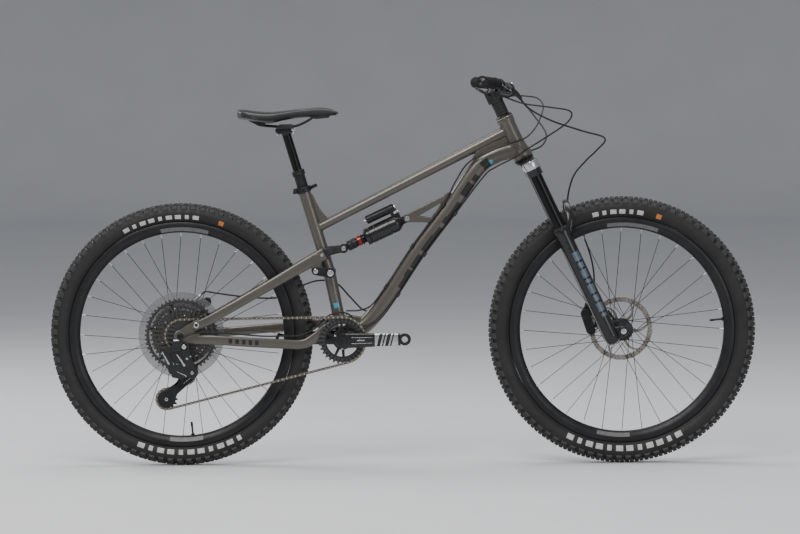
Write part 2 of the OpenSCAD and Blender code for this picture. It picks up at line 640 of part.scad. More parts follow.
// ---- Drivetrain ----
pedal_right = bb + crank_len * [cos(1), 0, sin(1)];
pedal_left = bb - crank_len * [cos(1), 0, sin(1)];
module crank_arm(pedal) difference() {
    plate(64, 79) link(bb, 21, pedal, 17);
    plate(76.5, 80) link(bb + 0.22 * (pedal - bb), 4, bb + 0.5 * (pedal - bb), 4);
    pin(pedal, 7.14, 60, 90);
}
module crank_right() color(black) {
    difference() {
        union() { right_side() crank_arm(pedal_right); pin(bb, 20, -64.1, -43.2); }
        pin(bb, 12.05, -72.05, -40);
    }
    pin(bb, 12, -72, 72);
}
module crank_left() color(black) difference() {
    union() { crank_arm(pedal_left); pin(bb, 17, 43.2, 64.1); }
    pin(bb, 12, 40, 72);
}
module chainring() color(black) sprocket(bb, ring_teeth, chain_y, 2.2) {
    circle(r = 20.02);
    for (k = [0 : 4]) rotate(72 * k + 20) difference() {
        polygon([[29, -11], [53, -21], [53, 21], [29, 11]]);
        translate([22, 0]) circle(r = 8);
    }
}
module chain() color([0.25, 0.22, 0.2]) both_sides_of_chain() difference() {
    polygon(chain_line(3.6));
    polygon(chain_line(-3.6));
}
module both_sides_of_chain() for (side = [-1, 1])
    plate(chain_y + side * 2.1 - 0.5, chain_y + side * 2.1 + 0.5)
    children();
cog_low = chain_y - driven_cog * cog_step;
module cassette() color(black) difference() {
    union() {
        for (k = [0 : len(cog_teeth) - 1]) sprocket(rear_centre, cog_teeth[k], cog_low + k * cog_step, 1.6);
        pin(rear_centre, 18.6, cog_low - 1.5, cog_low + 11 * cog_step + 1.5);
    }
    pin(rear_centre, 17.6, cog_low - 5, cog_low + 12 * cog_step);
}
hanger_point = at(-442, -13);
module derailleur_body() color(black) {
    pin(hanger_point, 11, -98, -81.2);
    plate(-98, -94) {
        link(hanger_point, 11, cage_pivot, 13);
        link(hanger_point, 10, at(-496, -24), 9);
        link(at(-496, -24), 9, at(-476, -80), 10);
        link(at(-476, -80), 10, cage_pivot, 13);
    }
    plate(-85.5, -82) link(hanger_point, 9, cage_pivot, 11);
    pin(cage_pivot, 16, -94.2, -60.5);
}
module cage_plate(y_low, y_high) plate(y_low, y_high) {
    link(cage_pivot, 13, guide_centre, 12);
    link(guide_centre, 12, tension_centre, 11);
    link(cage_pivot, 13, at(-462, -122), 10);
}
module derailleur_cage() color(black) {
    cage_plate(-60, -57.6);
    cage_plate(-43.6, -41.6);
    pin(guide_centre, 3, -57.7, -43.5);
    pin(tension_centre, 3, -57.7, -43.5);
}
module pulley(c, teeth) color(black) sprocket(c, teeth, chain_y, 2) circle(r = 3.05);
module guide_pulley() pulley(guide_centre, guide_teeth);
module tension_pulley() pulley(tension_centre, tension_teeth);

// ---- Seat ----
head_point = seat_top + 168 * seat_dir;
module rail_path_sweep(r) both_sides() sweep(smooth([[-427, 24, 972], [-411, 24, 964],
    [-392, 23, 957], [-330, 22, 952.5], [-298, 21, 955], [-276, 18, 963], [-258, 14, 973],
    [-246, 12, 983]], 3), r, r, [0, 0, 1], 12);
module dropper_shaft() color(black) {
    rod(post_collar - 60 * seat_dir, head_point, 13);
    pin(head_point, 13.5, -17, 17);
    difference() {
        both_sides() translate(head_point + [-22, 14, 5]) cube([44, 15, 12]);
        rail_path_sweep(3.5);
    }
}
module saddle_rails() color(black) rail_path_sweep(3.5);
// Stations of the saddle: x, half width, top, bottom
saddle_stations = smooth([[-461, 22, 1000, 980], [-454, 50, 1002, 975], [-435, 66, 1001, 972],
    [-405, 71, 997, 966], [-372, 66, 995, 962], [-335, 48, 998, 970], [-300, 34, 1002, 976],
    [-262, 26, 1006, 979], [-230, 22, 1007, 980], [-203, 19, 1003, 982], [-185, 14, 996, 984],
    [-178, 7, 991, 985]], 2);
function saddle_ring(s, n) = [for (k = [0 : n - 1]) let (w = 360 * k / n, c = cos(w), h = sin(w))
    [s.x, s[1] * sign(c) * pow(abs(c), 0.8), (s[2] + s[3]) / 2 + (s[2] - s[3]) / 2 * h]];
module saddle() color(black) {
    n = 20;
    rows = len(saddle_stations);
    polyhedron([for (s = saddle_stations) each saddle_ring(s, n)],
        concat(band(0, rows, n, true), [[for (k = [0 : n - 1]) k]],
            [[for (k = [0 : n - 1]) (rows - 1) * n + n - 1 - k]]), convexity = 6);
}

head_tube();
top_tube();
down_tube();
seat_tube();
shock_mount();
headset_cups();
bb_bearings();
seat_clamp();
seatpost_outer();
rear_brake_hose();
gear_cable();
dropper_cable();
fork_upper();
stem();
headset_spacers();
handlebar();
grips();
brake_body_right();
brake_body_left();
shifter_body();
dropper_remote();
brake_lever_right();
brake_lever_left();
shift_paddle();
dropper_lever();
fork_lowers();
front_axle();
front_caliper();
front_brake_hose();
front_tyre();
front_rim();
front_spokes();
front_hub();
front_rotor();
chainstays();
main_pivot_axle();
rear_axle();
rear_caliper();
derailleur_body();
derailleur_cage();
guide_pulley();
tension_pulley();
seatstays();
shock_yoke();
rocker_link();
shock_body();
shock_shaft();
rear_tyre();
rear_rim();
rear_spokes();
rear_hub();
rear_rotor();
cassette();
crank_right();
crank_left();
chainring();
chain();
dropper_shaft();
saddle_rails();
saddle();
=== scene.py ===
import json
import math
import random

import bpy
import numpy as np
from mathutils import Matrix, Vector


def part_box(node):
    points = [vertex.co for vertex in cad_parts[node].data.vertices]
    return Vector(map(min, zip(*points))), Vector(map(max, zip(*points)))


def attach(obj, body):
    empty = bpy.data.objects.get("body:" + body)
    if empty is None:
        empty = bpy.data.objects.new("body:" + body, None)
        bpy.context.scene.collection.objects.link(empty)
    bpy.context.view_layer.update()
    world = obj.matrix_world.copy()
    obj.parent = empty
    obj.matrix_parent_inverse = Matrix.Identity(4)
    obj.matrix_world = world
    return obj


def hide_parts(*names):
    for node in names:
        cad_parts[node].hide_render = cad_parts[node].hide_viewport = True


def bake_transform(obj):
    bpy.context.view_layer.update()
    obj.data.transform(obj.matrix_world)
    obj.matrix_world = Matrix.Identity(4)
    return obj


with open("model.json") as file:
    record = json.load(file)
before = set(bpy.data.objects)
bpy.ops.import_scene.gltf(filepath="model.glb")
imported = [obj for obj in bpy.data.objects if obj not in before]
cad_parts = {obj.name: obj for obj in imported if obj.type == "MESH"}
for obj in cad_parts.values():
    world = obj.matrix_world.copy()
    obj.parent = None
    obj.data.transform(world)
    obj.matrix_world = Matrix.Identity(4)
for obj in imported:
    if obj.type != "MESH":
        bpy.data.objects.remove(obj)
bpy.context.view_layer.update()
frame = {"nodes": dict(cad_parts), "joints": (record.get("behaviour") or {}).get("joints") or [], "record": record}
random.seed(7)

METRE = 0.001        # shapes are worked out in millimetres, and piece() turns them into metres
SAME_POINT = 1e-6    # vertices nearer than this, in metres, are one
X, Y, Z = np.eye(3)
JOINTS = {j["name"]: j for j in frame["joints"]}


# ------------------------------------------------------------------ geometry helpers

def unit(v):
    v = np.asarray(v, float)
    return v / np.linalg.norm(v)


def joint_at(name):
    return np.array(JOINTS[name]["pos_m"], float) / METRE


def joint_dir(name):
    return unit(JOINTS[name]["axis"])


def box_centre(node):
    low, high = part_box(node)
    return (np.array(low) + np.array(high)) / 2 / METRE


def across(v, t):
    """The part of v at right angles to t, as a unit vector."""
    return unit(v - t * np.dot(v, t))


def curve(points, n):
    """A smooth curve through the points, with n steps in each span."""
    p = np.asarray(points, float)
    out = []
    last = len(p) - 1
    for i in range(last):
        a, b, c, d = p[max(i - 1, 0)], p[i], p[i + 1], p[min(i + 2, last)]
        for k in range(n):
            t = k / n
            out.append(0.5 * (2 * b + (c - a) * t + (2 * a - 5 * b + 4 * c - d) * t * t
                              + (3 * b - a - 3 * c + d) * t ** 3))
    out.append(p[last])
    return np.array(out)


def tangents(path, closed=False):
    if closed:
        return np.array([unit(v) for v in np.roll(path, -1, 0) - np.roll(path, 1, 0)])
    ahead = np.vstack([path[1:], path[-1:]])
    behind = np.vstack([path[:1], path[:-1]])
    return np.array([unit(v) for v in ahead - behind])


def grid_faces(rows, n, wrap_rows=False, wrap=True):
    faces = []
    for i in range(rows if wrap_rows else rows - 1):
        for k in range(n if wrap else n - 1):
            a, b = i * n + k, i * n + (k + 1) % n
            j = (i + 1) % rows
            faces.append((a, b, j * n + (k + 1) % n, j * n + k))
    return faces


def swept(path, a, b, side=Y, n=24, closed=False, power=1.0):
    """A solid of half-width a along side and half-height b, swept along path. Returns vertices, faces."""
    path = np.asarray(path, float)
    rows = len(path)
    t = tangents(path, closed)
    u = across(np.asarray(side, float), t[0])
    a = np.broadcast_to(a, rows)
    b = np.broadcast_to(b, rows)
    w = np.arange(n) * 2 * math.pi / n
    c, s = np.cos(w), np.sin(w)
    c = np.sign(c) * np.abs(c) ** power
    s = np.sign(s) * np.abs(s) ** power
    verts = []
    for i in range(rows):
        u = across(u, t[i])
        v = np.cross(t[i], u)
        verts += [path[i] + u * a[i] * c[k] + v * b[i] * s[k] for k in range(n)]
    faces = grid_faces(rows, n, wrap_rows=closed)
    if not closed:
        faces += [tuple(range(n))[::-1], tuple((rows - 1) * n + k for k in range(n))]
    return verts, faces


def revolved(profile, centre, axis, n=96, closed=True):
    """Profile points [radius, along] turned about the axis through centre."""
    axis = unit(axis)
    u = across(X if abs(axis[0]) < 0.9 else Z, axis)
    v = np.cross(axis, u)
    verts = []
    for i in range(n):
        w = 2 * math.pi * i / n
        d = u * math.cos(w) + v * math.sin(w)
        verts += [centre + d * r + axis * h for r, h in profile]
    return verts, grid_faces(n, len(profile), wrap_rows=True, wrap=closed)


def join(*parts):
    """Several (vertices, faces) pairs as one."""
    verts, faces = [], []
    for v, f in parts:
        base = len(verts)
        verts += list(v)
        faces += [tuple(base + k for k in face) for face in f]
    return verts, faces


def mirrored(part):
    v, f = part
    return [np.array([p[0], -p[1], p[2]]) for p in v], [tuple(reversed(face)) for face in f]


def both(part):
    return join(part, mirrored(part))


def rod(a, b, r, r_far=None, n=24, round_end=0.0):
    """A round bar from a to b, its edges eased by round_end."""
    a, b = np.asarray(a, float), np.asarray(b, float)
    length = np.linalg.norm(b - a)
    r_far = r if r_far is None else r_far
    e = min(round_end, length / 2)
    profile = [(0.1, 0), (r - e, 0), (r - e * 0.3, e * 0.3), (r, e), (r_far, length - e),
               (r_far - e * 0.3, length - e * 0.3), (r_far - e, length), (0.1, length)]
    if e == 0:
        profile = [(0.05, 0), (r, 0), (r_far, length), (0.05, length)]
    return revolved(profile, a, b - a, n, closed=False)


def along_y(c, r, y_low, y_high, n=32, ease=0.0):
    return rod((c[0], y_low, c[2]), (c[0], y_high, c[2]), r, n=n, round_end=ease)


def arc_points(c, r, start, end, n):
    return [(c[0] + r * math.cos(w), c[1] + r * math.sin(w)) for w in np.linspace(start, end, n + 1)]


def flat(p):
    return np.array([p[0], p[2]])


def link_outline(a, ra, b, rb, n=12):
    """Outline of two round ends joined by straight flanks, in X and Z."""
    a, b = np.asarray(a, float), np.asarray(b, float)
    d = b - a
    w = math.atan2(d[1], d[0])
    s = math.acos((ra - rb) / np.linalg.norm(d))
    return arc_points(b, rb, w - s, w + s, n) + arc_points(a, ra, w + s, w + 2 * math.pi - s, n)


def prism(outline, low, high, ease=0.0, place=None):
    """A flat outline given thickness from low to high, with eased edges.
    place turns (u, v, height) into a point; by default u is X, v is Z and the height is Y."""
    pts = np.array(outline, float)
    area = 0.5 * np.sum(pts[:, 0] * np.roll(pts[:, 1], -1) - np.roll(pts[:, 0], -1) * pts[:, 1])
    if area < 0:
        pts = pts[::-1]
    place = place or (lambda u, v, h: np.array([u, h, v]))
    n = len(pts)
    ahead, behind = np.roll(pts, -1, 0) - pts, pts - np.roll(pts, 1, 0)
    normal = np.array([unit(unit(p) + unit(q)) for p, q in zip(ahead, behind)])
    inward = np.stack([-normal[:, 1], normal[:, 0]], 1)
    rows = [(low, ease * 1.5), (low, ease), (low + ease * 0.3, ease * 0.3), (low + ease, 0), (high - ease, 0),
            (high - ease * 0.3, ease * 0.3), (high, ease), (high, ease * 1.5)] if ease else [(low, 0), (high, 0)]
    verts = [place(*(pts[k] + inward[k] * d), h) for h, d in rows for k in range(n)]
    faces = grid_faces(len(rows), n)
    faces += [tuple(range(n))[::-1], tuple((len(rows) - 1) * n + k for k in range(n))]
    return verts, faces


def ball(centre, r, n=16):
    profile = [(max(r * math.sin(w), 0.01), -r * math.cos(w)) for w in np.linspace(0, math.pi, n // 2 + 1)]
    return revolved(profile, np.asarray(centre, float), Z, n, closed=False)


def hexagon_bolt(p, d, r, depth=3):
    """A round bolt head with a six-sided socket, at p, facing along d."""
    d = unit(d)
    u = across(X if abs(d[0]) < 0.9 else Z, d)
    v = np.cross(d, u)
    n = 24
    rings = []
    spec = [(r * 0.98, 0, False), (r, depth * 0.3, False), (r, depth * 0.8, False), (r * 0.88, depth, False),
            (r * 0.52, depth, True), (r * 0.48, depth * 0.35, True)]
    for radius, h, six in spec:
        for k in range(n):
            w = 2 * math.pi * k / n
            rr = radius
            if six:
                part = (w + math.pi / 6) % (math.pi / 3) - math.pi / 6
                rr = radius * math.cos(math.pi / 6) / math.cos(part)
            rings.append(p + d * h + (u * math.cos(w) + v * math.sin(w)) * rr)
    faces = grid_faces(len(spec), n)
    faces.append(tuple((len(spec) - 1) * n + k for k in range(n)))
    return rings, faces


def piece(name, part, mat, body, replaces=(), angle=35, bevel=0.0):
    """One object from (vertices, faces), finished and riding on its body."""
    mesh = bpy.data.meshes.new(name)
    verts, faces = part
    mesh.from_pydata((np.array(verts, float) * METRE).tolist(), [], faces)
    mesh.validate()
    obj = bpy.data.objects.new(name, mesh)
    bpy.context.scene.collection.objects.link(obj)
    tidy_normals(mesh)
    dress(obj, mat, angle)
    if bevel:
        soften(obj, bevel)
    if body:
        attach(obj, body)
        if replaces:
            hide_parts(*replaces)
    return obj


def tidy_normals(mesh):
    import bmesh
    bm = bmesh.new()
    bm.from_mesh(mesh)
    bmesh.ops.remove_doubles(bm, verts=bm.verts, dist=SAME_POINT)
    bmesh.ops.recalc_face_normals(bm, faces=bm.faces)
    bm.to_mesh(mesh)
    bm.free()


def dress(obj, mat, angle):
    mats = mat if isinstance(mat, (list, tuple)) else [mat]
    obj.data.materials.clear()
    for m in mats:
        obj.data.materials.append(m)
    obj.data.shade_smooth()
    obj.data.set_sharp_from_angle(angle=math.radians(angle))


def soften(obj, width):
    """Eased edges that catch the light."""
    mod = obj.modifiers.new("ease", "BEVEL")
    mod.width = width * METRE
    mod.segments = 2
    mod.limit_method = "ANGLE"
    mod.angle_limit = math.radians(32)
    mod.harden_normals = True
    mod.use_clamp_overlap = True


# ------------------------------------------------------------------ materials

def node_material(name):
    mat = bpy.data.materials.new(name)
    mat.use_nodes = True
    tree = mat.node_tree
    tree.nodes.clear()
    out = tree.nodes.new("ShaderNodeOutputMaterial")
    shader = tree.nodes.new("ShaderNodeBsdfPrincipled")
    tree.links.new(shader.outputs[0], out.inputs[0])
    return mat, tree, shader


def noise(tree, scale, detail=3.0, stretch=None, rough=0.5):
    coord = tree.nodes.new("ShaderNodeTexCoord")
    tex = tree.nodes.new("ShaderNodeTexNoise")
    tex.inputs["Scale"].default_value = scale
    tex.inputs["Detail"].default_value = detail
    tex.inputs["Roughness"].default_value = rough
    source = coord.outputs["Object"]
    if stretch:
        mapping = tree.nodes.new("ShaderNodeMapping")
        mapping.inputs["Scale"].default_value = stretch
        tree.links.new(source, mapping.inputs[0])
        source = mapping.outputs[0]
    tree.links.new(source, tex.inputs["Vector"])
    return tex.outputs["Fac"]


def cells(tree, scale, output="Distance"):
    coord = tree.nodes.new("ShaderNodeTexCoord")
    tex = tree.nodes.new("ShaderNodeTexVoronoi")
    tex.feature = "F1"
    tex.inputs["Scale"].default_value = scale
    tree.links.new(coord.outputs["Object"], tex.inputs["Vector"])
    return tex.outputs[output]


def span(tree, value, low, high, to_low, to_high):
    node = tree.nodes.new("ShaderNodeMapRange")
    tree.links.new(value, node.inputs["Value"])
    for key, number in zip(("From Min", "From Max", "To Min", "To Max"), (low, high, to_low, to_high)):
        node.inputs[key].default_value = number
    return node.outputs["Result"]


def blended(tree, factor, a, b):
    node = tree.nodes.new("ShaderNodeMix")
    node.data_type = "RGBA"
    node.blend_type = "MIX"
    tree.links.new(factor, node.inputs["Factor"])
    for key, value in (("A", a), ("B", b)):
        socket = [s for s in node.inputs if s.name == key and s.type == "RGBA"][0]
        if hasattr(value, "default_value") or hasattr(value, "is_output"):
            tree.links.new(value, socket)
        else:
            socket.default_value = (*value, 1)
    return [s for s in node.outputs if s.type == "RGBA"][0]


def bumped(tree, shader, *layers):
    """Stacks height layers, each (height, strength, distance)."""
    last = None
    for height, strength, distance in layers:
        bump = tree.nodes.new("ShaderNodeBump")
        bump.inputs["Strength"].default_value = strength
        bump.inputs["Distance"].default_value = distance
        tree.links.new(height, bump.inputs["Height"])
        if last:
            tree.links.new(last, bump.inputs["Normal"])
        last = bump.outputs[0]
    tree.links.new(last, shader.inputs["Normal"])


def edges(tree, low, high):
    """1 on raised edges, 0 on flat areas."""
    geometry = tree.nodes.new("ShaderNodeNewGeometry")
    return span(tree, geometry.outputs["Pointiness"], low, high, 0, 1)


def finish(name, colour, second=None, spots=60, metallic=0.0, rough=(0.4, 0.5), rough_scale=90, grain=400,
           grain_depth=0.00002, coat=0.0, coat_rough=0.1, edge_wear_and_highlight=None, stretch=None, edge_wear_and_highlight_range=(0.53, 0.6),
           specular=0.5, flakes=0.0, dust=None, clear=1.0):
    """A surface with a slow change of colour, uneven gloss, fine grain, optional dust and optional lighter edges:
    worn edges on most finishes, a painted highlight on the cog steel.
    """
    mat, tree, shader = node_material(name)
    patches = span(tree, noise(tree, spots, 4, stretch), 0.35, 0.65, 0, 1)
    base = blended(tree, patches, colour, second or [c * 0.82 for c in colour])
    if flakes:
        tone = span(tree, cells(tree, 2600, output="Color"), 0.0, 1.0, 0, 1)
        base = blended(tree, span(tree, tone, 0.75, 1.0, 0, flakes), base, [min(1, c * 2.4) for c in colour])
    if dust:
        base = blended(tree, span(tree, noise(tree, 14, 6, None, 0.7), 0.45, 0.75, 0, dust[1]), base, dust[0])
    # Lighter raised edges: real wear on most finishes, a painted highlight on the cog steel.
    if edge_wear_and_highlight:
        base = blended(tree, edges(tree, *edge_wear_and_highlight_range), base, edge_wear_and_highlight)
    tree.links.new(base, shader.inputs["Base Color"])
    tree.links.new(span(tree, noise(tree, rough_scale, 5, stretch), 0.3, 0.7, *rough), shader.inputs["Roughness"])
    shader.inputs["Metallic"].default_value = metallic
    shader.inputs["Specular IOR Level"].default_value = specular
    shader.inputs["Coat Weight"].default_value = coat
    shader.inputs["Coat Roughness"].default_value = coat_rough
    shader.inputs["Alpha"].default_value = clear
    bumped(tree, shader, (noise(tree, grain, 3, stretch), 0.5, grain_depth), (noise(tree, 9, 2), 0.25, 0.0002))
    return mat


TAUPE = (0.098, 0.088, 0.077)
PAINT = finish("taupe_paint", TAUPE, (0.088, 0.079, 0.069), spots=5, metallic=0.6, rough=(0.32, 0.4),
               rough_scale=14, grain=900, grain_depth=0.000008, coat=0.25, coat_rough=0.2, flakes=0.3,
               edge_wear_and_highlight=(0.2, 0.185, 0.165), edge_wear_and_highlight_range=(0.57, 0.68))
PAINT_DARK = finish("dark_paint_block", (0.008, 0.008, 0.008), (0.012, 0.011, 0.011), spots=40, rough=(0.34, 0.46),
                    coat=0.1, specular=0.35)
TEAL = finish("teal_mark", (0.015, 0.26, 0.38), spots=60, rough=(0.3, 0.4), coat=0.3)
WELD = finish("weld_bead", (0.092, 0.084, 0.074), spots=200, metallic=0.5, rough=(0.34, 0.45), grain=500,
              grain_depth=0.0001, coat=0.2, coat_rough=0.2)
GLOSS = finish("gloss_black", (0.006, 0.006, 0.0065), (0.009, 0.009, 0.0095), spots=6, rough=(0.22, 0.3),
               rough_scale=20, grain=500, grain_depth=0.000006, coat=0.3, coat_rough=0.12, specular=0.3,
               edge_wear_and_highlight=(0.05, 0.05, 0.05), edge_wear_and_highlight_range=(0.58, 0.72))
STANCHION = finish("stanchion", (0.008, 0.008, 0.009), spots=10, metallic=0.6, rough=(0.16, 0.22), rough_scale=30,
                   grain=1500, grain_depth=0.000004, stretch=(1, 1, 0.1), specular=0.35)
ANODISED = finish("black_anodised", (0.012, 0.012, 0.013), (0.017, 0.017, 0.018), spots=30, metallic=0.35,
                  rough=(0.34, 0.46), grain=1600, grain_depth=0.00001, specular=0.35, edge_wear_and_highlight=(0.12, 0.12, 0.125),
                  edge_wear_and_highlight_range=(0.58, 0.72))
MATT_ALLOY = finish("matt_alloy", (0.016, 0.016, 0.017), (0.022, 0.022, 0.022), spots=25, metallic=0.3,
                    rough=(0.46, 0.58), grain=1300, grain_depth=0.00002, specular=0.35, edge_wear_and_highlight=(0.1, 0.1, 0.1),
                    edge_wear_and_highlight_range=(0.58, 0.7))
SILVER = finish("bright_steel", (0.56, 0.56, 0.57), (0.44, 0.44, 0.46), spots=80, metallic=1.0, rough=(0.2, 0.34),
                grain=900, grain_depth=0.00001)
RUBBER = finish("tyre_rubber", (0.012, 0.012, 0.012), (0.018, 0.0175, 0.017), spots=30, rough=(0.68, 0.84),
                grain=700, grain_depth=0.00012, specular=0.3, dust=((0.045, 0.042, 0.038), 0.22),
                edge_wear_and_highlight=(0.05, 0.049, 0.047), edge_wear_and_highlight_range=(0.56, 0.68))
SIDEWALL = finish("tyre_sidewall", (0.013, 0.013, 0.0135), (0.018, 0.0175, 0.0175), spots=18, rough=(0.52, 0.66),
                  grain=2400, grain_depth=0.00005, specular=0.3, dust=((0.034, 0.032, 0.029), 0.2))
PALE_MARK = finish("pale_mark", (0.46, 0.455, 0.44), (0.36, 0.355, 0.345), spots=90, rough=(0.5, 0.7))
ORANGE_MARK = finish("orange_mark", (0.5, 0.15, 0.025), (0.4, 0.11, 0.015), spots=90, rough=(0.5, 0.65))
GREY_MARK = finish("grey_mark", (0.12, 0.12, 0.12), (0.09, 0.09, 0.09), spots=120, rough=(0.4, 0.55))
BLUE_MARK = finish("slate_mark", (0.06, 0.09, 0.12), (0.045, 0.07, 0.095), spots=60, rough=(0.3, 0.4), coat=0.2)
GRIP_RUBBER = finish("grip_rubber", (0.013, 0.013, 0.0135), spots=60, rough=(0.75, 0.9), grain=1500,
                     grain_depth=0.0001, specular=0.25)
HOSE_SKIN = finish("hose_skin", (0.009, 0.009, 0.0095), spots=40, rough=(0.4, 0.5), grain=1500, grain_depth=0.00002,
                   specular=0.35)
PLASTIC = finish("moulded_black", (0.013, 0.013, 0.0135), spots=60, rough=(0.46, 0.58), grain=1800,
                 grain_depth=0.00003, specular=0.35, edge_wear_and_highlight=(0.06, 0.06, 0.06), edge_wear_and_highlight_range=(0.58, 0.72))
SPOKE = finish("black_spoke", (0.012, 0.012, 0.012), spots=80, metallic=0.6, rough=(0.3, 0.4))
ROTOR = finish("rotor_steel", (0.30, 0.28, 0.25), (0.22, 0.2, 0.175), spots=40, metallic=1.0, rough=(0.28, 0.42),
               grain=2600, grain_depth=0.00003, edge_wear_and_highlight=(0.5, 0.48, 0.45), edge_wear_and_highlight_range=(0.56, 0.68))
# The cog steel's lighter tooth edges are a painted highlight standing for silver glints on the teeth.
COG = finish("dark_cog_steel", (0.02, 0.0195, 0.019), (0.042, 0.04, 0.037), spots=160, metallic=0.7,
             rough=(0.3, 0.44), grain=1500, grain_depth=0.00003, edge_wear_and_highlight=(0.13, 0.125, 0.12), edge_wear_and_highlight_range=(0.57, 0.72))
CHAIN = finish("chain_steel", (0.2, 0.168, 0.135), (0.1, 0.083, 0.066), spots=260, metallic=0.95, rough=(0.3, 0.48),
               grain=1500, grain_depth=0.00003, edge_wear_and_highlight=(0.4, 0.35, 0.3), edge_wear_and_highlight_range=(0.55, 0.65))
RED = finish("red_anodised", (0.30, 0.02, 0.018), (0.2, 0.012, 0.012), spots=60, metallic=0.7, rough=(0.25, 0.35),
             coat=0.2)
SADDLE_SKIN = finish("saddle_skin", (0.014, 0.014, 0.0145), (0.018, 0.018, 0.0185), spots=30, rough=(0.34, 0.46),
                     grain=1700, grain_depth=0.00009, specular=0.45, edge_wear_and_highlight=(0.04, 0.04, 0.04),
                     edge_wear_and_highlight_range=(0.57, 0.72))
SADDLE_SHELL = finish("saddle_shell", (0.011, 0.011, 0.011), spots=30, rough=(0.35, 0.5), specular=0.35)
SMOKY = finish("smoky_disc", (0.16, 0.16, 0.165), spots=20, rough=(0.25, 0.35), clear=0.42)


# ------------------------------------------------------------------ stage, light and camera

def build_stage():
    mat = finish("floor", (0.60, 0.605, 0.62), (0.58, 0.585, 0.60), spots=2, rough=(0.6, 0.7), grain=60,
                 grain_depth=0.0001)
    profile = [(-20.0, 0.0), (17.5, 0.0)]
    profile += [(17.5 + 2.0 * math.sin(w), 2.0 - 2.0 * math.cos(w)) for w in np.linspace(0.1, math.pi / 2, 12)]
    profile += [(19.5, 14.0)]
    verts = [(x / METRE, y / METRE, z / METRE) for x in (-20.0, 20.0) for y, z in profile]
    n = len(profile)
    faces = [(k, k + 1, n + k + 1, n + k) for k in range(n - 1)]
    floor = piece("studio_floor", (verts, faces), mat, None)


def area_light(name, at, aim, size, power, colour=(1, 1, 1)):
    data = bpy.data.lights.new(name, "AREA")
    data.shape = "RECTANGLE"
    data.size, data.size_y = size
    data.energy = power
    data.color = colour
    obj = bpy.data.objects.new(name, data)
    bpy.context.scene.collection.objects.link(obj)
    obj.location = at
    from mathutils import Vector
    obj.rotation_euler = (Vector(aim) - Vector(at)).to_track_quat("-Z", "Y").to_euler()


def build_light():
    world = bpy.data.worlds.new("studio")
    world.use_nodes = True
    world.node_tree.nodes["Background"].inputs[0].default_value = (0.72, 0.74, 0.78, 1)
    world.node_tree.nodes["Background"].inputs[1].default_value = 0.55
    bpy.context.scene.world = world
    area_light("key", (-1.4, -3.4, 4.2), (0, 0, 0.5), (3.4, 2.0), 210, (1, 0.985, 0.96))
    area_light("top", (0.2, 0.6, 4.6), (0, 0, 0.4), (4.2, 2.6), 150)
    area_light("fill", (3.6, -4.4, 1.8), (0.2, 0, 0.5), (2.4, 2.4), 60, (0.95, 0.97, 1))
    area_light("rim", (-3.6, 2.2, 2.6), (-0.3, 0, 0.6), (2.2, 1.8), 90)


def build_camera():
    distance, pitch, aim_z = 9.5, math.radians(3.0), 0.556
    data = bpy.data.cameras.new("camera")
    data.sensor_width = 36.0
    data.lens = 151.7
    data.clip_end = 60
    cam = bpy.data.objects.new("camera", data)
    bpy.context.scene.collection.objects.link(cam)
    cam.location = (-0.0043, -distance * math.cos(pitch), aim_z + distance * math.sin(pitch))
    cam.rotation_euler = (math.pi / 2 - pitch, math.radians(0.35), 0)
    bpy.context.scene.camera = cam


build_stage()
build_light()
build_camera()


# ------------------------------------------------------------------ wheels

SPOKES = 32
RIM_INNER, RIM_OUTER = 287, 317
BLOCKS_ROUND, BLOCK_TALL = 84, 5.6


def wheel_point(centre, r, w, y=0.0):
    return centre + np.array([r * math.cos(w), y, r * math.sin(w)])


def tyre_surface(centre, ring_r, tube_r, w, phi, lift=0.0):
    """A point on a tyre: w round the wheel, phi round the section from its crown."""
    r = ring_r + (tube_r + lift) * math.cos(phi)
    return wheel_point(centre, r, w, (tube_r + lift) * math.sin(phi))


def knob(centre, ring_r, tube_r, w, phi, long, wide, tall):
    """A tapered tread block whose foot follows the casing."""
    out = unit(tyre_surface(centre, ring_r, tube_r, w, phi, 1) - tyre_surface(centre, ring_r, tube_r, w, phi))
    run = unit(wheel_point(np.zeros(3), 1, w + math.pi / 2))
    side = np.cross(out, run)
    foot = tyre_surface(centre, ring_r, tube_r, w, phi, -1.0)
    verts = []
    for height, scale in ((0, 1.16), (tall * 0.9, 1.0), (tall + 1.0, 0.86)):
        for sx, sy in ((-1, -1), (1, -1), (1, 1), (-1, 1)):
            verts.append(foot + out * height + run * (sx * long / 2 * scale) + side * (sy * wide / 2 * scale))
    faces = grid_faces(3, 4)
    faces += [(3, 2, 1, 0), (8, 9, 10, 11)]
    return verts, faces


def tyre(name, node, body, axle, section_r, rows):
    low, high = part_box(node)
    outer = (high[0] - low[0]) / 2 / METRE
    tube_r = section_r - BLOCK_TALL
    ring_r = outer - section_r
    bed = RIM_OUTER + 0.4
    reach = math.acos((bed - ring_r) / tube_r)
    profile = [(ring_r + tube_r * math.cos(phi), tube_r * math.sin(phi)) for phi in np.linspace(-reach, reach, 41)]
    inner = [(max(r - 3, bed), h * 0.86) for r, h in profile[::-1]]
    piece(name + "_casing", revolved(profile + inner, axle, Y, 240), SIDEWALL, body, (node,),
          angle=50)
    blocks = []
    for phi, long, wide, offset in rows:
        for side in ((-1, 1) if phi else (1,)):
            for k in range(BLOCKS_ROUND):
                w = 2 * math.pi * (k + offset + (0.5 if side < 0 else 0)) / BLOCKS_ROUND
                blocks.append(knob(axle, ring_r, tube_r, w, side * math.radians(phi), long, wide, BLOCK_TALL))
    piece(name + "_tread", join(*blocks), RUBBER, body, angle=30)
    return ring_r, tube_r


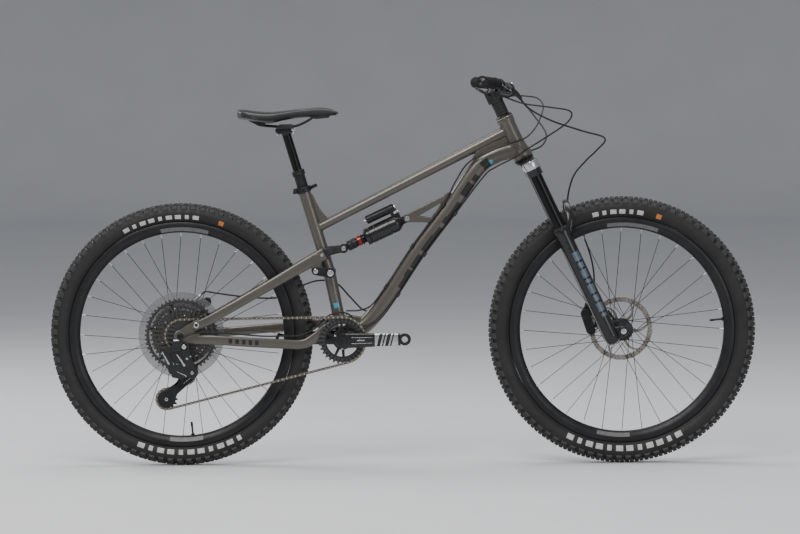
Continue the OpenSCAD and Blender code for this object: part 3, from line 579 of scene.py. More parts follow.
def tyre_patch(axle, ring_r, tube_r, w0, w1, phi0, phi1, lift=0.35):
    """A thin raised mark on the sidewall of the tyre."""
    verts = []
    rows = max(2, int(abs(w1 - w0) / 0.02) + 2)
    for i in range(rows):
        w = w0 + (w1 - w0) * i / (rows - 1)
        for k in range(5):
            phi = phi0 + (phi1 - phi0) * k / 4
            verts.append(tyre_surface(axle, ring_r, tube_r, w, phi, lift))
    base = len(verts)
    for i in range(rows):
        w = w0 + (w1 - w0) * i / (rows - 1)
        for k in range(5):
            phi = phi0 + (phi1 - phi0) * k / 4
            verts.append(tyre_surface(axle, ring_r, tube_r, w, phi, -0.5))
    top = grid_faces(rows, 5, wrap=False)
    bottom = [tuple(base + v for v in face[::-1]) for face in top]
    rim = [i * 5 for i in range(rows)] + [(rows - 1) * 5 + k for k in range(1, 5)]
    rim += [i * 5 + 4 for i in range(rows - 2, -1, -1)] + [k for k in range(3, 0, -1)]
    walls = [(rim[i], rim[(i + 1) % len(rim)], base + rim[(i + 1) % len(rim)], base + rim[i])
             for i in range(len(rim))]
    return verts, top + bottom + walls


def sidewall_marks(name, body, axle, ring_r, tube_r, dashes, patch):
    """Plain dashes in arcs at the top and bottom of both sidewalls, and one small coloured patch."""
    marks, spots = [], []
    for side in (-1, 1):
        for middle, length, count, phi, high in dashes:
            step = math.radians(length)
            for k in range(count):
                w = math.radians(middle) + (k - (count - 1) / 2) * step * 1.45
                size = 0.62 if k % 3 == 1 else 1.0
                marks.append(tyre_patch(axle, ring_r, tube_r, w - step * size / 2, w + step * size / 2,
                                        side * math.radians(phi), side * math.radians(phi + high)))
        w = math.radians(patch)
        spots.append(tyre_patch(axle, ring_r, tube_r, w - 0.022, w + 0.022, side * math.radians(94),
                                side * math.radians(124), lift=0.4))
    piece(name + "_dashes", join(*marks), PALE_MARK, body)
    piece(name + "_spot", join(*spots), ORANGE_MARK, body)


def rim_marks(name, body, axle, middles):
    """Plain pale patches on both sides of the rim."""
    parts = []
    for side in (-1, 1):
        for middle, half in middles:
            profile_a = np.array([(291.5, side * 11.3), (302.5, side * 17.15)])
            verts = []
            steps = 12
            for lift in (0.25, -0.4):
                for i in range(steps + 1):
                    w = math.radians(middle + half * (2 * i / steps - 1))
                    for r, y in (profile_a[0] * (1, 1), profile_a.mean(0), profile_a[1]):
                        verts.append(wheel_point(axle, r, w, y + side * lift))
            n = (steps + 1) * 3
            top = grid_faces(steps + 1, 3, wrap=False)
            rim = [i * 3 for i in range(steps + 1)] + [steps * 3 + 1, steps * 3 + 2]
            rim += [i * 3 + 2 for i in range(steps - 1, -1, -1)] + [1]
            walls = [(rim[i], rim[(i + 1) % len(rim)], n + rim[(i + 1) % len(rim)], n + rim[i])
                     for i in range(len(rim))]
            parts.append((verts, top + [tuple(n + v for v in f[::-1]) for f in top] + walls))
    piece(name + "_rim_marks", join(*parts), GREY_MARK, body)


def rim(name, node, body, axle):
    half = [(287, 0), (287, 5), (288.5, 8), (292, 11.5), (303, 16.8), (305, 17), (315.5, 17), (317, 16),
            (317, 14.6), (315.5, 14.1), (308, 14), (305.5, 13), (304.4, 10), (304, 6), (302.6, 0)]
    outline = [(r, -h) for r, h in half[::-1]] + [(r, h) for r, h in half[1:-1]]
    outline = outline[:len(half)] + outline[len(half):]
    piece(name + "_rim", revolved(outline, axle, Y, 256), ANODISED, body, (node,), angle=40)


def spoke_line(axle, flange_r, y_left, y_right, i):
    left = i % 2 == 0
    lead = 1 if (i // 2) % 2 == 0 else -1
    w = 2 * math.pi * i / SPOKES
    y = (y_left if left else y_right) + 1.6 * lead
    foot = wheel_point(axle, flange_r, w + math.radians(62) * lead, y)
    tip = wheel_point(axle, RIM_INNER + 1.5, w, 2 if left else -2)
    return foot, tip, lead


def lacing(name, node, body, axle, flange_r, y_left, y_right):
    """Butted spokes with bent heads, and a bright nipple at each rim end."""
    wires, nipples = [], []
    for i in range(SPOKES):
        foot, tip, lead = spoke_line(axle, flange_r, y_left, y_right, i)
        d = unit(tip - foot)
        length = np.linalg.norm(tip - foot)
        head = foot + Y * (-3.0 * lead)
        path = [head, foot + Y * (-0.9 * lead) - d * 0.4, foot + d * 2.0, foot + d * 12, foot + d * (length - 22),
                tip - d * 12]
        radii = [1.0, 1.0, 1.0, 0.85, 0.85, 1.0]
        wires.append(swept(path, np.array(radii), np.array(radii), X, 8))
        wires.append(ball(head, 1.7, 8))
        nipples.append(revolved([(0.01, 0), (1.3, 0.2), (1.7, 1.5), (1.7, 8.5), (2.3, 10), (2.3, 12.5),
                                 (0.01, 12.8)], tip - d * 12.5, d, 10, closed=False))
    piece(name + "_spokes", join(*wires), SPOKE, body, (node,), angle=60)
    piece(name + "_nipples", join(*nipples), SILVER, body, angle=40)


def valve(name, body, axle, w):
    base = wheel_point(axle, RIM_INNER, w)
    d = -unit(base - axle)
    parts = [rod(base - d * 2, base + d * 26, 2.9, n=14, round_end=0.3),
             rod(base + d * 1, base + d * 4, 6, n=20, round_end=0.8),
             rod(base + d * 26, base + d * 38, 3.6, 3.0, n=14, round_end=0.6)]
    piece(name + "_valve", join(*parts), ANODISED, body)


def hub_shell(name, node, body, axle, profile, holes, flange_r):
    """Turned hub; profile is [radius, position towards the drive side]."""
    outline = profile
    shell = revolved(outline, axle, -Y, 72)
    piece(name + "_hub", shell, ANODISED, body, (node,), angle=30, bevel=0.5)
    seats = []
    for y in holes:
        for k in range(SPOKES // 2):
            w = 2 * math.pi * (k + 0.25) / (SPOKES // 2)
            c = wheel_point(axle, flange_r, w, y)
            seats.append(along_y(c, 1.9, c[1] - 2.2, c[1] + 2.2, 10, 0.3))
    piece(name + "_flange_rings", join(*seats), SILVER, body)


def rotor_bolts(name, body, axle, y):
    bolts = [hexagon_bolt(wheel_point(axle, 22, math.radians(60 * k), y + 0.9), Y, 4.2, 2.6) for k in range(6)]
    piece(name + "_rotor_bolts", join(*bolts), SILVER, body)


def rotor(name, node, body, axle, y):
    """Brake track with slanted slots, carried on six swept arms."""
    outer, inner = 90, 75
    thick = 0.9
    parts = []
    waves = 240
    rings = []
    for h, eased in ((-thick, 0.25), (-thick * 0.6, 0), (thick * 0.6, 0), (thick, 0.25)):
        rings.append((h, eased))
    verts, faces = [], []
    for h, e in rings:
        for k in range(waves):
            w = 2 * math.pi * k / waves
            verts.append(wheel_point(axle, outer - e - 0.9 * (0.5 + 0.5 * math.cos(24 * w)), w, y + h))
    for h, e in rings[::-1]:
        for k in range(waves):
            w = 2 * math.pi * k / waves
            verts.append(wheel_point(axle, inner + e + 0.9 * (0.5 + 0.5 * math.cos(18 * w)), w, y + h))
    faces = grid_faces(len(rings) * 2, waves, wrap_rows=True)
    parts.append((verts, faces))
    for k in range(6):
        w = math.radians(60 * k)
        arm = curve([(24, w - 0.10), (45, w - 0.16), (64, w - 0.02), (76.5, w + 0.16)], 5)
        outline_l, outline_r = [], []
        for r, a in arm:
            half = 4.2 - (r - 24) * 0.018
            outline_l.append((axle[0] + r * math.cos(a + half / r), axle[2] + r * math.sin(a + half / r)))
            outline_r.append((axle[0] + r * math.cos(a - half / r), axle[2] + r * math.sin(a - half / r)))
        parts.append(prism(outline_l + outline_r[::-1], y - thick, y + thick, 0.25))
    ring = [(17, -thick), (17, thick), (27.5, thick), (28, 0), (27.5, -thick)]
    parts.append(revolved(ring, axle + Y * y, Y, 60))
    piece(name + "_rotor", join(*parts), ROTOR, body, (node,), angle=30)
    slots = []
    for k in range(30):
        w = 2 * math.pi * k / 30
        for r, turn in ((79.5, 0.0), (85.0, 0.045)):
            c = wheel_point(axle, r, w + turn + (0.1 if k % 2 else 0), y)
            slots.append(along_y(c, 1.7, y - thick - 0.06, y + thick + 0.06, 12))
    piece(name + "_rotor_vents", join(*slots), PAINT_DARK, body)


REAR = joint_at("rear_spin")
FRONT = joint_at("front_spin")
REAR_ROTOR_Y, FRONT_ROTOR_Y = box_centre("rear_rotor")[1], box_centre("front_rotor")[1]

# Rows of tread blocks: place round the section in degrees, length, width, and shift along the tread.
REAR_ROWS = [(8, 11.0, 8.5, 0.0), (27, 10.0, 7.5, 0.35), (49, 13.5, 11.5, 0.15)]
FRONT_ROWS = [(8, 10.5, 9.0, 0.0), (27, 10.0, 8.0, 0.45), (49, 14.5, 13.0, 0.1)]


def build_wheels():
    ring_r, tube_r = tyre("rear", "rear_tyre", "rear_wheel", REAR, 30, REAR_ROWS)
    sidewall_marks("rear", "rear_wheel", REAR, ring_r, tube_r, [(100, 3.0, 9, 96, 28), (-86, 3.4, 11, 92, 34)], 70)
    ring_r, tube_r = tyre("front", "front_tyre", "front_wheel", FRONT, 33, FRONT_ROWS)
    sidewall_marks("front", "front_wheel", FRONT, ring_r, tube_r, [(92, 3.0, 6, 96, 28), (-89, 3.4, 12, 92, 34)],
                   72)
    rim("rear", "rear_rim", "rear_wheel", REAR)
    rim("front", "front_rim", "front_wheel", FRONT)
    rim_marks("rear", "rear_wheel", REAR, [(88, 13), (-88, 9)])
    rim_marks("front", "front_wheel", FRONT, [(84, 14), (-95, 9)])
    lacing("rear", "rear_spokes", "rear_wheel", REAR, 27.5, 36, -22)
    lacing("front", "front_spokes", "front_wheel", FRONT, 26.5, 27, -28)
    valve("rear", "rear_wheel", REAR, math.radians(-84.4))
    valve("front", "front_wheel", FRONT, math.radians(5.6))
    hub_shell("front", "front_hub", "front_wheel", FRONT, [(7.55, -55), (10, -55), (10.5, -50), (10.5, -46),
                                                           (16.9, -46), (16.9, -42.5), (27, -42.5), (27, -39),
                                                           (17, -35), (17, -32), (26, -30.5), (30, -29),
                                                           (30, -25.5), (26, -24), (18, -20), (15, -8), (15, 8),
                                                           (18, 22), (27, 26), (30, 26.2), (30, 30), (24, 31),
                                                           (14, 34), (12, 55), (7.55, 55)], (27, -28), 26.5)
    hub_shell("rear", "rear_hub", "rear_wheel", REAR, [(6.05, -74), (10, -74), (10, -60.5), (16.9, -60.5),
                                                       (16.9, -57), (27, -57), (27, -53), (17, -48), (17, -40),
                                                       (27, -38.5), (31, -38), (31, -34), (26, -33), (18, -28),
                                                       (15, -10), (15, 5), (18, 16), (27, 20), (31, 20.2), (31, 24),
                                                       (26, 25), (18, 26.3), (17.5, 27), (17.5, 70), (10, 70),
                                                       (10, 74), (6.05, 74)], (36, -22), 27.5)
    rotor("rear", "rear_rotor", "rear_wheel", REAR, REAR_ROTOR_Y)
    rotor("front", "front_rotor", "front_wheel", FRONT, FRONT_ROTOR_Y)
    rotor_bolts("rear", "rear_wheel", REAR, REAR_ROTOR_Y)
    rotor_bolts("front", "front_wheel", FRONT, FRONT_ROTOR_Y)


build_wheels()


# ------------------------------------------------------------------ frame

BB = joint_at("crank_spin")
MAIN = joint_at("rear_travel")
ROCKER = joint_at("rocker_pivot")
DROPOUT = joint_at("stay_pivot")
EYE_FRONT = joint_at("shock_swing")
SEAT_DIR = joint_dir("seat_drop")
STEER = joint_at("steer")
STEER_UP = joint_dir("steer")
STEER_OUT = np.array([STEER_UP[2], 0, -STEER_UP[0]])


def at(x, z, y=0.0):
    """A point given in mm forward of and above the bottom bracket."""
    return BB + np.array([x, y, z])


def steer_pt(x, z, y=0.0):
    return STEER + STEER_OUT * x + STEER_UP * z + Y * y


STAY_PIVOT = at(-74, 193.8)
EYE_REAR = at(4.1, 255.5)
SEAT_TOP = at(-108.8, 426)
HEAD_LEN = 126


def weld_bead(path_points, r, closed=True):
    """A ring of overlapping ripples laid along a joint."""
    path = np.asarray(path_points, float)
    length = np.sum(np.linalg.norm(np.roll(path, -1, 0) - path,
                                   axis=1)) if closed else np.sum(np.linalg.norm(path[1:] - path[:-1], axis=1))
    count = max(12, int(length / (2.6)))
    fine = resampled(path, count * 4, closed)
    radii = [r * (0.84 + 0.22 * abs(math.sin(math.pi * i / 4))) for i in range(len(fine))]
    return swept(fine, radii, radii, Y, 8, closed=closed)


def resampled(path, count, closed=False):
    pts = np.vstack([path, path[:1]]) if closed else np.asarray(path)
    d = np.concatenate([[0], np.cumsum(np.linalg.norm(pts[1:] - pts[:-1], axis=1))])
    s = np.linspace(0, d[-1], count, endpoint=not closed)
    return np.stack([np.interp(s, d, pts[:, k]) for k in range(3)], 1)


def ring_at(p, d, r, n=40, side=Y):
    d = unit(d)
    u = across(np.asarray(side, float), d)
    v = np.cross(d, u)
    return [p + u * r * math.cos(w) + v * r * math.sin(w) for w in np.linspace(0, 2 * math.pi, n, endpoint=False)]


def meeting_ring(a, b, r, centre, axis, wall_r, grow=0.0):
    """Where a round tube from a to b (radius r) meets the wall of a cylinder about axis through centre."""
    d = unit(b - a)
    u = across(Y, d)
    v = np.cross(d, u)
    axis = unit(axis)
    out = []
    for w in np.linspace(0, 2 * math.pi, 48, endpoint=False):
        p = a + (u * math.cos(w) + v * math.sin(w)) * (r + grow)
        q = p - centre
        q_flat = q - axis * np.dot(q, axis)
        d_flat = d - axis * np.dot(d, axis)
        aa, bb_, cc = np.dot(d_flat, d_flat), 2 * np.dot(q_flat, d_flat), np.dot(q_flat, q_flat) - wall_r ** 2
        disc = bb_ * bb_ - 4 * aa * cc
        t = (-bb_ - math.sqrt(max(disc, 0))) / (2 * aa)
        out.append(p + d * t)
    return out


TOP_A, TOP_B = at(-78, 308), at(464, 583)
DOWN_PATH = curve([at(505, 536), at(476, 528), at(432, 514), at(382, 478), at(302, 364), at(215, 250), at(140, 137),
                   at(76, 52), at(12, 4)], 14)


def coped(mesh, n, along):
    """The top tube with its first ring cut to follow the seat tube, clear of the post inside."""
    verts, faces = mesh
    verts, axis = [np.array(v) for v in verts], unit(SEAT_TOP - at(-37, 189))
    w = along - axis * np.dot(along, axis)
    ends = [k for k, face in enumerate(faces) if len(face) > 4 and min(face) == 0]
    middle = sum(verts[:n]) / n
    verts.append(middle)
    for k in list(range(n)) + [len(verts) - 1]:
        q = verts[k] - SEAT_TOP
        q = q - axis * np.dot(q, axis)
        half, rest = np.dot(q, w) / np.dot(w, w), (np.dot(q, q) - (15.4) ** 2) / np.dot(w, w)
        verts[k] = verts[k] + along * (math.sqrt(half * half - rest) - half)
    fans = [(f[i], f[(i + 1) % n], len(verts) - 1) for f in (faces[k] for k in ends) for i in range(n)]
    return verts, [f for k, f in enumerate(faces) if k not in ends] + fans


def down_half_width(t):
    return 23 + 7 * t * t


def down_point(s, w):
    """A point on the down tube's skin: s along it from the head tube (0..1), w round it."""
    i = s * (len(DOWN_PATH) - 1)
    k = min(int(i), len(DOWN_PATH) - 2)
    f = i - k
    p = DOWN_PATH[k] * (1 - f) + DOWN_PATH[k + 1] * f
    t = unit(DOWN_PATH[k + 1] - DOWN_PATH[k])
    u = across(Y, t)
    v = np.cross(t, u)
    power = 0.82
    c, h = math.cos(w), math.sin(w)
    c, h = math.copysign(abs(c) ** power, c), math.copysign(abs(h) ** power, h)
    return p + u * down_half_width(s) * c + v * 24 * h


def closed_patch(top, bottom):
    """A closed sheet between two matching grids of points."""
    ns, nw, _ = top.shape
    verts = list(top.reshape(-1, 3)) + list(bottom.reshape(-1, 3))
    n = ns * nw
    faces = grid_faces(ns, nw, wrap=False)
    rim = [i * nw for i in range(ns)] + [(ns - 1) * nw + k for k in range(1, nw)]
    rim += [i * nw + nw - 1 for i in range(ns - 2, -1, -1)] + [k for k in range(nw - 2, 0, -1)]
    walls = [(rim[i], rim[(i + 1) % len(rim)], n + rim[(i + 1) % len(rim)], n + rim[i]) for i in range(len(rim))]
    return verts, faces + [tuple(n + v for v in f[::-1]) for f in faces] + walls


def skin_block(point, s_range, w_range, axis_point, ns=8, nw=8, lift=0.45):
    """A closed block on a skin; axis_point(s) is the middle of the tube, used to tell out from in."""
    s = np.linspace(*s_range, ns)
    w = np.linspace(*w_range, nw)
    base = np.array([[point(a, b) for b in w] for a in s])
    out = np.array([[unit(point(a, b) - axis_point(a)) for b in w] for a in s])
    return closed_patch(base + out * lift, base - out * 0.6)


def down_middle(s):
    i = s * (len(DOWN_PATH) - 1)
    k = min(int(i), len(DOWN_PATH) - 2)
    return DOWN_PATH[k] * (1 - (i - k)) + DOWN_PATH[k + 1] * (i - k)


def down_s(x, z):
    """Position along the down tube nearest to a point in the middle plane."""
    p = at(x, z)
    return float(np.argmin(np.linalg.norm(DOWN_PATH - p, axis=1))) / (len(DOWN_PATH) - 1)


def build_head_tube():
    """Head tube, with a smooth waist and flared ends."""
    shape = [(18, 0), (28.4, 0), (29, 0.6), (29, 11), (28.4, 14), (26.2, 22), (24.2, 32), (23.0, 44), (22.5, 60),
             (22.5, 92), (22.8, 102), (23.8, 110), (24.5, 115), (24.5, HEAD_LEN - 0.6), (24.0, HEAD_LEN),
             (18, HEAD_LEN)]
    piece("head_tube_shell", revolved(shape, STEER, STEER_UP, 96), PAINT, "frame", ("head_tube",),
          angle=50)


def build_down_tube():
    """Down tube: broad and slightly squared, flattening towards the bottom bracket."""
    s = np.linspace(0, 1, len(DOWN_PATH))
    verts, faces = swept(DOWN_PATH, [down_half_width(t) for t in s], 24, Y, 40, power=0.82)
    # Its end is trimmed to a plane inside the head tube.
    out = [np.dot(v - STEER, STEER_OUT) + 9 for v in verts]
    tube = ([v - STEER_OUT * max(0, d) for v, d in zip(verts, out)], faces)
    piece("down_tube_shell", tube, PAINT, "frame", ("down_tube",), angle=45)


def build_top_tube():
    """Top tube and its gusset on the seat tube."""
    a, b = TOP_A, TOP_B
    n = 24
    line = [a + (b - a) * k / n for k in range(n + 1)]
    line = [p for p in line if np.dot(p - STEER, STEER_OUT) < -10]
    radii = [(13 + 3 * np.linalg.norm(p - a) / np.linalg.norm(b - a)) for p in line]
    top = swept(line, radii, radii, Y, 40)
    top = coped(top, 40, unit(b - a))
    piece("top_tube_shell", top, PAINT, "frame", ("top_tube",), angle=45)
    outline = curve([at(-89, 409), at(-82, 408), at(-62, 368), at(-34, 336), at(-20, 327), at(-40, 316),
                     at(-60, 322), at(-75, 363)], 3)
    gusset = prism([flat(p) for p in outline], -7, 7, 1.6)
    piece("seat_gusset", gusset, PAINT, "frame", angle=50)
    brace = prism([flat(at(*p)) for p in ((366, 503), (380, 528), (450, 564), (472, 572), (472, 545),
                                          (430, 537), (396, 518))], -10, 10, 2)
    piece("head_gusset", brace, PAINT, "frame", angle=50)


def build_seat_tube():
    """Seat tube with its two bends, bottom bracket shell and pivot bosses."""
    high, low = at(-37, 189), at(-13, 71)
    bend = [SEAT_TOP, SEAT_TOP - SEAT_DIR * 60, high + SEAT_DIR * 30, high + SEAT_DIR * 9,
            high + unit(low - high) * 9, high + unit(low - high) * 30, low + unit(high - low) * 9,
            low + unit(BB - low) * 9, BB + unit(low - BB) * 8]
    line = curve(bend, 7)
    seat = swept(line, 17.5, 17.5, Y, 40)
    shell = revolved([(20.6, -36.5), (25.4, -36.5), (26, -35.9), (26, 35.9), (25.4, 36.5), (20.6, 36.5)], BB, Y, 72)
    main = along_y(MAIN, 17, -31, 31, 56, 0.8)
    rocker = along_y(ROCKER, 12, -42, 42, 48, 0.6)
    # CNC web between the down tube, the main pivot and the bottom bracket.
    web = prism([flat(at(-14, 52)), flat(at(10, 70)), flat(at(52, 62)), flat(at(70, 44)),
                 flat(at(30, 6)), flat(at(0, 20))], -15, 15, 3)
    piece("seat_tube_shell", join(seat, shell, main, rocker), PAINT, "frame", ("seat_tube",),
          angle=45)
    piece("pivot_web", web, PAINT, "frame", angle=40)


def build_welds():
    """Weld beads."""
    d = unit(TOP_B - TOP_A)
    beads = [weld_bead(meeting_ring(TOP_A - d * 0.1, TOP_B, 15.8, STEER, STEER_UP, 23.2, grow=0.9), 1.9),
             weld_bead(meeting_ring(TOP_B, TOP_A, 13.2, SEAT_TOP, SEAT_DIR, 17.5, grow=0.9), 1.8)]
    q0, q1 = DOWN_PATH[30], DOWN_PATH[14]
    beads.append(weld_bead(meeting_ring(q0, q1, 25.5, STEER, STEER_UP, 26.5, grow=0.6), 2.1))
    for y in (-36.5, 36.5):
        beads.append(weld_bead(ring_at(BB + Y * y * 0.86, Y, 26.2, 48, X), 1.4))
        beads.append(weld_bead(ring_at(MAIN + Y * y * 0.52, Y, 17.4, 36, X), 1.3))
    piece("frame_welds", join(*beads), WELD, "frame", angle=60)


def build_frame_marks():
    """Dark blocks and small coloured marks on the tubes, in place of lettering."""
    blocks, teal = [], []
    # The drive side faces -Y; on the down tube w runs from the side (0 or pi) through top and bottom.
    spans = [((404, 494), 0.05, (-0.2, 0.85)), ((366, 458), 0.02, (0.1, 0.9)), ((344, 430), 0.035, (0.0, 0.95)),
             ((300, 362), 0.055, (0.2, 1.0)), ((286, 343), 0.018, (0.1, 1.0)), ((262, 309), 0.03, (0.2, 1.0)),
             ((236, 277), 0.045, (0.1, 1.0)), ((200, 228), 0.04, (0.15, 1.0)), ((176, 193), 0.02, (0.1, 1.0)),
             ((158, 165), 0.035, (0.2, 1.0))]
    for (x, z), length, (w0, w1) in spans:
        s = down_s(x, z)
        for mirror in (False, True):
            a, b = (math.pi - w0, math.pi - w1) if mirror else (w0, w1)
            blocks.append(skin_block(down_point, (s - length / 2, s + length / 2), (a, b), down_middle, 7, 9))
    piece("down_tube_blocks", join(*blocks), PAINT_DARK, "frame", angle=60)
    s = down_s(418, 505)
    for mirror in (False, True):
        a, b = (math.pi - 0.1, math.pi - 0.62) if mirror else (0.1, 0.62)
        teal.append(skin_block(down_point, (s - 0.012, s + 0.012), (a, b), down_middle, 5, 7))
    c = at(-17, 96)
    d = unit(at(-13, 71) - at(-37, 189))

    def seat_skin(k, w):
        return c + d * k + np.array([-d[2], 0, d[0]]) * 17.5 * math.sin(w) + Y * 17.5 * math.cos(w)
    for mirror in (False, True):
        a, b = (math.pi + 0.42, math.pi - 0.42) if mirror else (-0.42, 0.42)
        teal.append(skin_block(seat_skin, (-7, 7), (a, b), lambda k: c + d * k, 5, 7))
    piece("teal_marks", join(*teal), TEAL, "frame", angle=60)


build_head_tube()
build_down_tube()
build_top_tube()
build_seat_tube()
build_welds()
build_frame_marks()


# ------------------------------------------------------------------ rear suspension

RIGHT_STAY = [at(-415, 6, -76.5), at(-352, 4, -76), at(-262, -3, -67), at(-175, -9, -51), at(-113, -11, -42.5),
              at(-76, 8, -39), at(-46, 32, -37.4), at(-12, 48, -37.4)]
LEFT_STAY = [at(-415, 12, 76.5), at(-320, 18, 73), at(-215, 27, 59), at(-130, 35, 46), at(-76, 42, 39),
             at(-14, 49, 37.4)]
BEAM = [at(-407.6, 47, 84.9), at(-375, 59, 84.5), at(-300, 101, 75), at(-200, 157.5, 52), at(-157, 182, 44),
        at(-120, 203, 38), at(-74, 228.5, 34.5), at(-43, 246, 34)]


def link_plate(a, ra, b, rb, y0, y1, ease=1.2, n=14):
    return prism(link_outline(flat(a), ra, flat(b), rb, n), y0, y1, ease)


def on_side(part, side):
    return part if side > 0 else mirrored(part)


def dropout(side):
    """Flat end of the stays with its eye for the axle and the pivot."""
    parts = [link_plate(REAR, 16, DROPOUT, 13, 74.3, 81), link_plate(REAR, 15.8, at(-405, 8), 15, 74.45, 80.85)]
    if side < 0:
        parts.append(link_plate(REAR, 14, at(-442, -13), 12, 74.6, 80.7))
    else:
        parts.append(link_plate(REAR, 14, at(-403, 93), 11, 74.6, 80.7))
    ring = revolved([(9.5, 80.5), (9.5, 82.0), (14.5, 82.0), (15.2, 81.2), (15.2, 80.5)], REAR * (1, 0, 1), Y, 48)
    parts.append(ring)
    return [on_side(p, side) for p in parts]


def build_chainstays():
    right = swept(curve(RIGHT_STAY, 10), 5.6, 13.5, Y, 28, power=0.72)
    left = swept(curve(LEFT_STAY, 10), 5.6, 13, Y, 28, power=0.72)
    bosses = [along_y(MAIN, 16, 31.3, 43.5, 52, 1.0)]
    bosses.append(mirrored(bosses[0]))
    c = flat(at(-56, 46))
    half = 12
    bridge = prism([(c[0] - half, c[1] - half), (c[0] + half, c[1] - half), (c[0] + half, c[1] + half),
                    (c[0] - half, c[1] + half)], -38, 38, 3.5)
    pins = both(along_y(DROPOUT, 5, 80, 91, 28, 0.8))
    piece("chainstay_pair", join(right, left, *bosses, bridge, *dropout(-1), *dropout(1)), PAINT, "swingarm",
          ("chainstays",), angle=45)
    piece("dropout_pins", pins, ANODISED, "swingarm")


def build_stay_blocks():
    """Dark pad on the right stay, in place of lettering."""
    path = curve(RIGHT_STAY, 10)
    blocks = []
    for k in range(5):
        x0 = -322 + k * 19.5
        x1 = x0 + (14.5 if k % 2 else 11)
        p0, p1 = (path[int(np.argmin(abs(path[:, 0] - at(x, 0)[0])))] for x in (x0, x1))
        quad_top, quad_bottom = [], []
        for p in (p0, p1):
            quad_top.append([p + np.array([0, -6.0, h]) for h in (-6.5, 0, 6.5)])
            quad_bottom.append([p + np.array([0, -4.0, h]) for h in (-6.5, 0, 6.5)])
        blocks.append(closed_patch(np.array(quad_top), np.array(quad_bottom)))
    piece("stay_blocks", join(*blocks), PAINT_DARK, "swingarm", angle=60)


def build_rear_axle_ends():
    """Dropout bolts and axle ends."""
    heads = [hexagon_bolt(REAR * (1, 0, 1) + Y * 84.5, Y, 8.2, 2.6),
             hexagon_bolt(REAR * (1, 0, 1) - Y * 84.5, -Y, 8.2, 2.6)]
    collars = both(along_y(REAR, 9.6, 81.2, 84.8, 40, 0.8))
    piece("rear_axle_ends", join(*heads, collars), ANODISED, "swingarm")


def build_rear_caliper():
    """Caliper: two halves with a bridge and a round pot, hose union and mounting bolts."""
    a, b = at(-420, 92), at(-386, 103)
    halves = [link_plate(a, 12.5, b, 12.5, 49.2, 54.4, 1.6), link_plate(a, 12.5, b, 12.5, 61.6, 74, 2.2)]
    bridge = prism(link_outline(flat(a) + (4, 5), 8, flat(b) + (3, 5.2), 8), 53, 63, 1)
    pot = along_y((a + b) / 2 + np.array([-2, 0, -1]), 10.5, 62, 76.5, 40, 1.5)
    piece("rear_caliper_body", join(*halves, bridge, pot), ANODISED, "swingarm", ("rear_caliper",))
    bolts = [hexagon_bolt(p * (1, 0, 1) + Y * 74, Y, 4.4, 3.4) for p in (a, b)]
    union = rod(a * (1, 0, 1) + np.array([-4, 66, 8]), (-573.5, 66, 477.5), 4.2, 3.4, 20, 0.5)
    piece("rear_caliper_bolts", join(*bolts, union), SILVER, "swingarm")


def build_seatstay():
    path = curve(BEAM, 10)
    n = len(path)
    t = np.linspace(0, 1, n)
    beam = swept(path, [min(7, 3.4 + max(0, i * 21 / (n - 1) - 2) * 0.9) for i in range(n)],
                 [11.5 + 6.5 * k for k in t], Y, 32, power=0.66)
    eye = along_y(DROPOUT, 13, 81.4, 88.4, 48, 1.2)
    tab = link_plate(STAY_PIVOT, 11.5, at(-72, 226), 16, 27, 42, 2)
    piece("seatstay_pair", both(join(beam, eye, tab)), PAINT, "seatstay", ("seatstays",), angle=45)
    arm_path = curve([at(-46, 245.5, 34), at(-36, 248.5, 33.2), at(-26, 250.8, 28.5), at(-16, 252.5, 22),
                      at(-4, 254, 16.4), at(4, 255.5, 16.2)], 8)
    m = len(arm_path)
    arm = swept(arm_path, 3.8, [(12.5 - 3 * k / m) for k in range(m)], Y, 28, power=0.66)
    fork_eye = along_y(EYE_REAR, 11.3, 12.6, 19.9, 44, 1.2)
    c = at(-18.5, 252.5)
    lug = prism([(c[0] - 5.5, c[2] - 10.5), (c[0] + 5, c[2] - 9), (c[0] + 5, c[2] + 9), (c[0] - 5.5, c[2] + 10.5)],
                -25, 25, 2)
    piece("shock_yoke_arms", join(both(join(arm, fork_eye)), lug), MATT_ALLOY, "seatstay",
          ("shock_yoke",), angle=45)
    collar = swept([at(-49, 242.8, 34), at(-43.5, 245.8, 34)], 7.6, 18.6, Y, 32, power=0.7)
    piece("yoke_collars", both(collar), ANODISED, "seatstay")
    bolts = [hexagon_bolt(EYE_REAR * (1, 0, 1) + Y * s * 19.8, Y * s, 6.4, 3.6) for s in (1, -1)]
    bolts += [hexagon_bolt(at(-56, 238.5, s * 41.2), Y * s, 4.6, 2.2) for s in (1, -1)]
    bolts += [hexagon_bolt(DROPOUT * (1, 0, 1) + Y * s * 88.3, Y * s, 7.4, 2.6) for s in (1, -1)]
    piece("stay_bolts", join(*bolts), SILVER, "seatstay")


